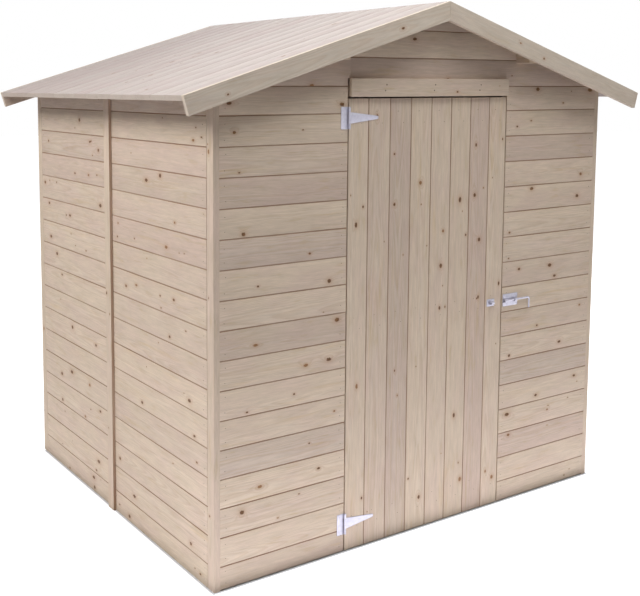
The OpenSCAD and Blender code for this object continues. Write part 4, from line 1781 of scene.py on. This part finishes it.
@dataclass
class Studio:
    """A pale floor, a bright surround and soft lamps."""

    sky: float = 0.018
    lamps: tuple[Lamp, ...] = (
        Lamp("high_left_lamp", 258.0, (0.97, 0.985, 1.0), (2.2, 2.2), (-4.9, -0.4, 4.6), (-1.0, 0.0, 0.9)),
        Lamp("top_front_lamp", 190.0, (0.93, 0.97, 1.0), (3.6, 1.8), (0.3, -2.3, 5.2), (0.2, -2.1, 0.0)),
        Lamp("high_front_lamp", 25.0, (1.0, 0.94, 0.87), (4.0, 4.0), (0.8, -4.2, 4.2), (0.2, -0.8, 0.9)),
        Lamp("front_glow", 13.9, (0.90, 0.91, 1.0), (4.4, 0.8), (0.25, -1.235, 0.01), (0.25, -1.235, 1.0)),
        Lamp("left_glow", 4.4, (0.91, 0.92, 1.0), (0.8, 3.4), (-1.42, -0.1, 0.01), (-1.42, -0.1, 1.0)),
        Lamp("rear_lamp", 210.0, (1.0, 1.0, 1.0), (4.0, 3.0), (3.4, 4.2, 3.4), (0.6, 0.8, 0.8)),
    )
    floor_size: float = 60.0
    floor_drop: float = 0.2 * MM
    floor_colour: tuple[float, float, float, float] = (0.655, 0.66, 0.68, 1.0)
    # painted shadow round the shed: where the floor's lift starts close to the footprint and where it grows
    # further out
    floor_close: Span = (0.004, 0.014, 0.0, 0.8)
    floor_wide: Span = (0.05, 1.2, 0.0, 0.3)
    footprint: tuple[float, float, float] = (0.997, 0.8015, 0.0)
    location: tuple[float, float, float] = (-2.6647, -3.6009, 1.7777)
    yaw: float = 0.5667
    pitch: float = -0.0995
    lens: float = 54.56
    shift: tuple[float, float] = (0.1227, -0.179)

    def build(self) -> None:
        """Makes the floor, the surround, the lamps and the camera."""
        self.surround()
        self.floor()
        for lamp in self.lamps:
            self.hang(lamp)
        self.camera()
        bpy.context.scene.view_settings.view_transform = "Standard"

    def seen(self, sheet: NodeSheet) -> bpy.types.NodeSocket:
        """1 for rays that show the surround itself: from the camera, off gloss and through glass."""
        path = sheet.node("ShaderNodeLightPath")
        glossy = sheet.math("MAXIMUM", path.outputs["Is Glossy Ray"], path.outputs["Is Transmission Ray"])
        return sheet.math("MAXIMUM", path.outputs["Is Camera Ray"], glossy)

    def surround(self) -> None:
        """A white surround that lights the shed softly."""
        world = bpy.data.worlds.new("surround")
        world.use_nodes = True
        bpy.context.scene.world = world
        sheet = NodeSheet(world.node_tree)
        back = world.node_tree.nodes["Background"]
        back.inputs["Color"].default_value = (1.0, 1.0, 1.0, 1.0)
        strength = sheet.node(
            "ShaderNodeMapRange", {"Value": self.seen(sheet), "To Min": self.sky, "To Max": 1.0}
        )
        world.node_tree.links.new(strength.outputs[0], back.inputs["Strength"])

    def floor(self) -> None:
        """A pale matt floor, lifted to white where it is open; the lift is held off under the shed's
        footprint and grows over about a metre round it: a painted shadow.
        """
        half = self.floor_size / 2
        grid = np.array([[-half, -half, 0.0], [half, -half, 0.0], [half, half, 0.0], [-half, half, 0.0]])
        grid[:, 2] -= self.floor_drop
        mesh = bpy.data.meshes.new("floor")
        mesh.from_pydata(grid, [], [[0, 1, 2, 3]])
        material, sheet, shader = fresh_material("pale_floor")
        shader.inputs["Base Color"].default_value = self.floor_colour
        shader.inputs["Roughness"].default_value = 1.0
        shader.inputs["Specular IOR Level"].default_value = 0.0
        shader.inputs["Emission Color"].default_value = (1.0, 1.0, 1.0, 1.0)
        place = sheet.vector("ABSOLUTE", sheet.node("ShaderNodeTexCoord").outputs["Object"])
        # painted shadow: no lift inside the footprint or within a few millimetres of it, and a weaker lift
        # for about a metre round it
        beside = sheet.split(sheet.vector("SUBTRACT", place, self.footprint))
        away = sheet.math("MAXIMUM", beside[0], beside[1])
        open_floor = sheet.math(
            "ADD", sheet.span(away, *self.floor_close), sheet.span(away, *self.floor_wide)
        )
        lift = sheet.math("MULTIPLY", self.seen(sheet), open_floor)
        material.node_tree.links.new(lift, shader.inputs["Emission Strength"])
        mesh.materials.append(material)
        floor = bpy.data.objects.new("floor", mesh)
        bpy.context.scene.collection.objects.link(floor)

    def hang(self, lamp: Lamp) -> None:
        """Hangs one lamp.

        Args:
            lamp: The lamp.
        """
        light = bpy.data.lights.new(lamp.name, "AREA")
        light.energy = lamp.power
        light.color = lamp.colour
        light.shape = "RECTANGLE"
        light.size, light.size_y = lamp.size
        hung = bpy.data.objects.new(lamp.name, light)
        bpy.context.scene.collection.objects.link(hung)
        away = np.array(lamp.place) - np.array(lamp.aim)
        hung.location = lamp.place
        flat = math.hypot(away[0], away[1])
        hung.rotation_euler = (math.atan2(flat, away[2]), 0.0, math.atan2(away[0], -away[1]))
        hung.visible_camera = False

    def camera(self) -> None:
        """Places the camera."""
        data = bpy.data.cameras.new("camera")
        data.sensor_width = 36.0
        data.lens = self.lens
        data.shift_x, data.shift_y = self.shift
        data.clip_end = 200.0
        camera = bpy.data.objects.new("camera", data)
        bpy.context.scene.collection.objects.link(camera)
        camera.location = self.location
        camera.rotation_euler = (math.pi / 2 + self.pitch, 0.0, -self.yaw)
        bpy.context.scene.camera = camera


# ---------------------------------------------------------------- the shed

@dataclass(frozen=True)
class PanelTones:
    """The tones of a panel's rows from the foot up: pale, but for the rows that are named."""

    rows: int
    beige: tuple[int, ...] = ()
    yellow: tuple[int, ...] = ()
    pink: tuple[int, ...] = ()
    grey: tuple[int, ...] = ()
    brown: tuple[int, ...] = ()

    def by_row(self) -> list[Tone]:
        """One tone for each row."""
        tones = [Tone.PALE] * self.rows
        for tone in (Tone.BEIGE, Tone.YELLOW, Tone.PINK, Tone.GREY, Tone.BROWN):
            for row in getattr(self, tone.name.lower()):
                tones[row] = tone
        return tones


# The darker pink and brown tones in the side walls' rows from 13 up and the gable's top row are painted shade
# under the eaves and the ridge; the other named rows are the boards' own tones.
FRONT_TONES = (
    PanelTones(rows=20, beige=(0, 14), yellow=(12, 15), pink=(13, 17), grey=(4, 11), brown=(8, 19)),
    PanelTones(rows=17, beige=(7, 9), yellow=(8, 11), pink=(2, 14), grey=(5,)),
)
SIDE_TONES = (
    PanelTones(rows=17, beige=(9, 11, 12), pink=(13,), brown=(14, 16)),
    PanelTones(rows=17, beige=(4, 7, 8, 9, 10, 12), pink=(11, 14), brown=(13, 16)),
)


@dataclass
class GardenShed:
    """The whole shed, sub-assembly by sub-assembly."""

    finishes: Finishes
    roof: RoofLine
    rng: np.random.Generator

    def yard(self, **changes: object) -> TimberYard:
        """A stack of boards to pick from."""
        return TimberYard(self.rng, **changes)

    @staticmethod
    def by_row(panels: tuple[PanelTones, ...]) -> dict[tuple[int, int], Tone]:
        """Tones keyed by row and panel."""
        rows = [panel.by_row() for panel in panels]
        return {(row, panel): tone for panel, tones in enumerate(rows) for row, tone in enumerate(tones)}

    def walls(self) -> None:
        """Clads the four walls."""
        left_low, left_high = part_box("left_front_cladding")
        rear_low, rear_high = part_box("left_rear_cladding")
        right_low, right_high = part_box("right_front_cladding")
        front_low, front_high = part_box("front_left_cladding")
        over_low, over_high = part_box("front_gable_cladding")
        right_front_low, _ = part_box("front_right_cladding")
        header_low, header_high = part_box("header_board")
        back_low, back_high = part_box("rear_left_cladding")
        back_right_low, back_right_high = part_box("rear_right_cladding")
        common = {"roof": self.roof, "finishes": self.finishes}
        front_y = front_low.y
        FrontWall(
            "front_wall_boards",
            ("front_left_cladding", "front_right_cladding", "front_gable_cladding"),
            Datum((0.0, front_y, 0.0), (1.0, 0.0, 0.0), (0.0, -1.0, 0.0)),
            ((over_low.x, over_high.x),),
            front_low.z,
            yard=self.yard(),
            gabled=True,
            way=(front_high.x, right_front_low.x),
            header=(header_low.x, header_high.x),
            header_top=header_high.z,
            door_head=over_low.z,
            tones=self.by_row(FRONT_TONES),
            **common,
        ).build()
        Wall(
            "left_wall_boards",
            ("left_front_cladding", "left_rear_cladding"),
            Datum((left_low.x, 0.0, 0.0), (0.0, -1.0, 0.0), (-1.0, 0.0, 0.0)),
            ((-rear_high.y, -rear_low.y), (-left_high.y, -left_low.y)),
            left_low.z,
            yard=self.yard(),
            tones=self.by_row(SIDE_TONES),
            **common,
        ).build()
        Wall(
            "right_wall_boards",
            ("right_front_cladding", "right_rear_cladding"),
            Datum((right_high.x, 0.0, 0.0), (0.0, 1.0, 0.0), (1.0, 0.0, 0.0)),
            ((left_low.y, left_high.y), (rear_low.y, rear_high.y)),
            right_low.z,
            yard=self.yard(),
            **common,
        ).build()
        Wall(
            "rear_wall_boards",
            ("rear_left_cladding", "rear_right_cladding"),
            Datum((0.0, back_high.y, 0.0), (-1.0, 0.0, 0.0), (0.0, 1.0, 0.0)),
            ((-back_right_high.x, -back_right_low.x), (-back_high.x, -back_low.x)),
            back_low.z,
            yard=self.yard(),
            gabled=True,
            **common,
        ).build()

    def timber(self) -> None:
        """Makes the posts, battens, framing, beams and bargeboards."""
        trim = self.yard(knots_per_metre=1.6, largest_knot=5 * MM, tones=(Tone.PALE, Tone.BEIGE, Tone.YELLOW))
        rough = self.yard(tones=(Tone.BEIGE, Tone.YELLOW, Tone.PINK))
        outer = (
            "front_left_post", "front_right_post", "rear_left_post", "rear_right_post",
            "left_joint_batten", "right_joint_batten", "rear_joint_batten", "header_board",
        )
        barge = tuple(f"bargeboard_{end}_{side}" for end in ("front", "rear") for side in ("left", "right"))
        inner = (
            "front_studs", "front_rails", "left_studs", "left_rails", "right_studs", "right_rails",
            "rear_studs", "rear_rails", "front_gable_frame", "rear_gable_frame", "ridge_beam", "purlins",
        )
        SawnTimber(
            outer, "shed", "trim", self.finishes.trim, trim,
            # painted shade on the left joint batten's front-facing edge, which the light from the left and
            # above leaves unlit
            darkened={"left_joint_batten": (0.0, -1.0, 0.0)},
        ).build()
        SawnTimber(barge, "shed", "trim", self.finishes.roof_trim, trim).build()
        SawnTimber(inner, "shed", "framing", self.finishes.framing, rough, ease=0.8 * MM).build()
        SawnTimber(
            ("door_ledges", "door_braces"), "door", "framing", self.finishes.framing, rough, ease=1.0 * MM
        ).build()

    def header_nails(self) -> None:
        """Drives the header board's nails: three pairs, each a little askew."""
        low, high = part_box("header_board")
        piece = PieceMesh("header_nails")
        datum = Datum((low.x, low.y, low.z), (1.0, 0.0, 0.0), (0.0, -1.0, 0.0))
        length, width = high.x - low.x, high.z - low.z
        askew, apart = 3 * MM, 0.16
        spots = np.array([
            (share * length + side * askew, (0.5 + apart * side) * width)
            for share in (0.2, 0.5, 0.8) for side in (-1, 1)
        ])
        NailRow(piece, radius=4.5 * MM).drive(datum, spots)
        piece.made("shed", "zinc", self.finishes.nails)

    def metal(self) -> None:
        """Makes the hinges and the bolt."""
        hinge = next(joint for joint in frame["joints"] if joint.get("range_deg"))
        pin = (hinge["pos_m"][0], hinge["pos_m"][1])
        face_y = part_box("door_boards")[0].y
        for level_name in ("upper", "lower"):
            TeeHinge(
                f"{level_name}_hinge", f"{level_name}_hinge_plate", f"{level_name}_hinge_strap", pin, face_y,
                self.finishes.zinc,
            ).build()
        SlideBolt(self.finishes.zinc, face_y).build()

    def build(self) -> None:
        """Builds everything in order."""
        self.walls()
        self.timber()
        self.header_nails()
        DoorLeaf(self.yard(), self.finishes).build()
        RoofBoards(
            self.yard(knots_per_metre=1.6, tones=(Tone.PALE, Tone.BEIGE, Tone.PINK), contrast=0.4),
            self.finishes,
            self.roof,
        ).build()
        self.metal()


def main() -> None:
    """Builds the shed and its stage."""
    logging.basicConfig(level=logging.INFO, format="%(name)s: %(message)s")
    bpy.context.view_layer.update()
    shed = GardenShed(Finishes.mixed(), RoofLine.from_frame(), np.random.default_rng(SEED))
    shed.build()
    Studio().build()


if __name__ == "__main__":
    main()
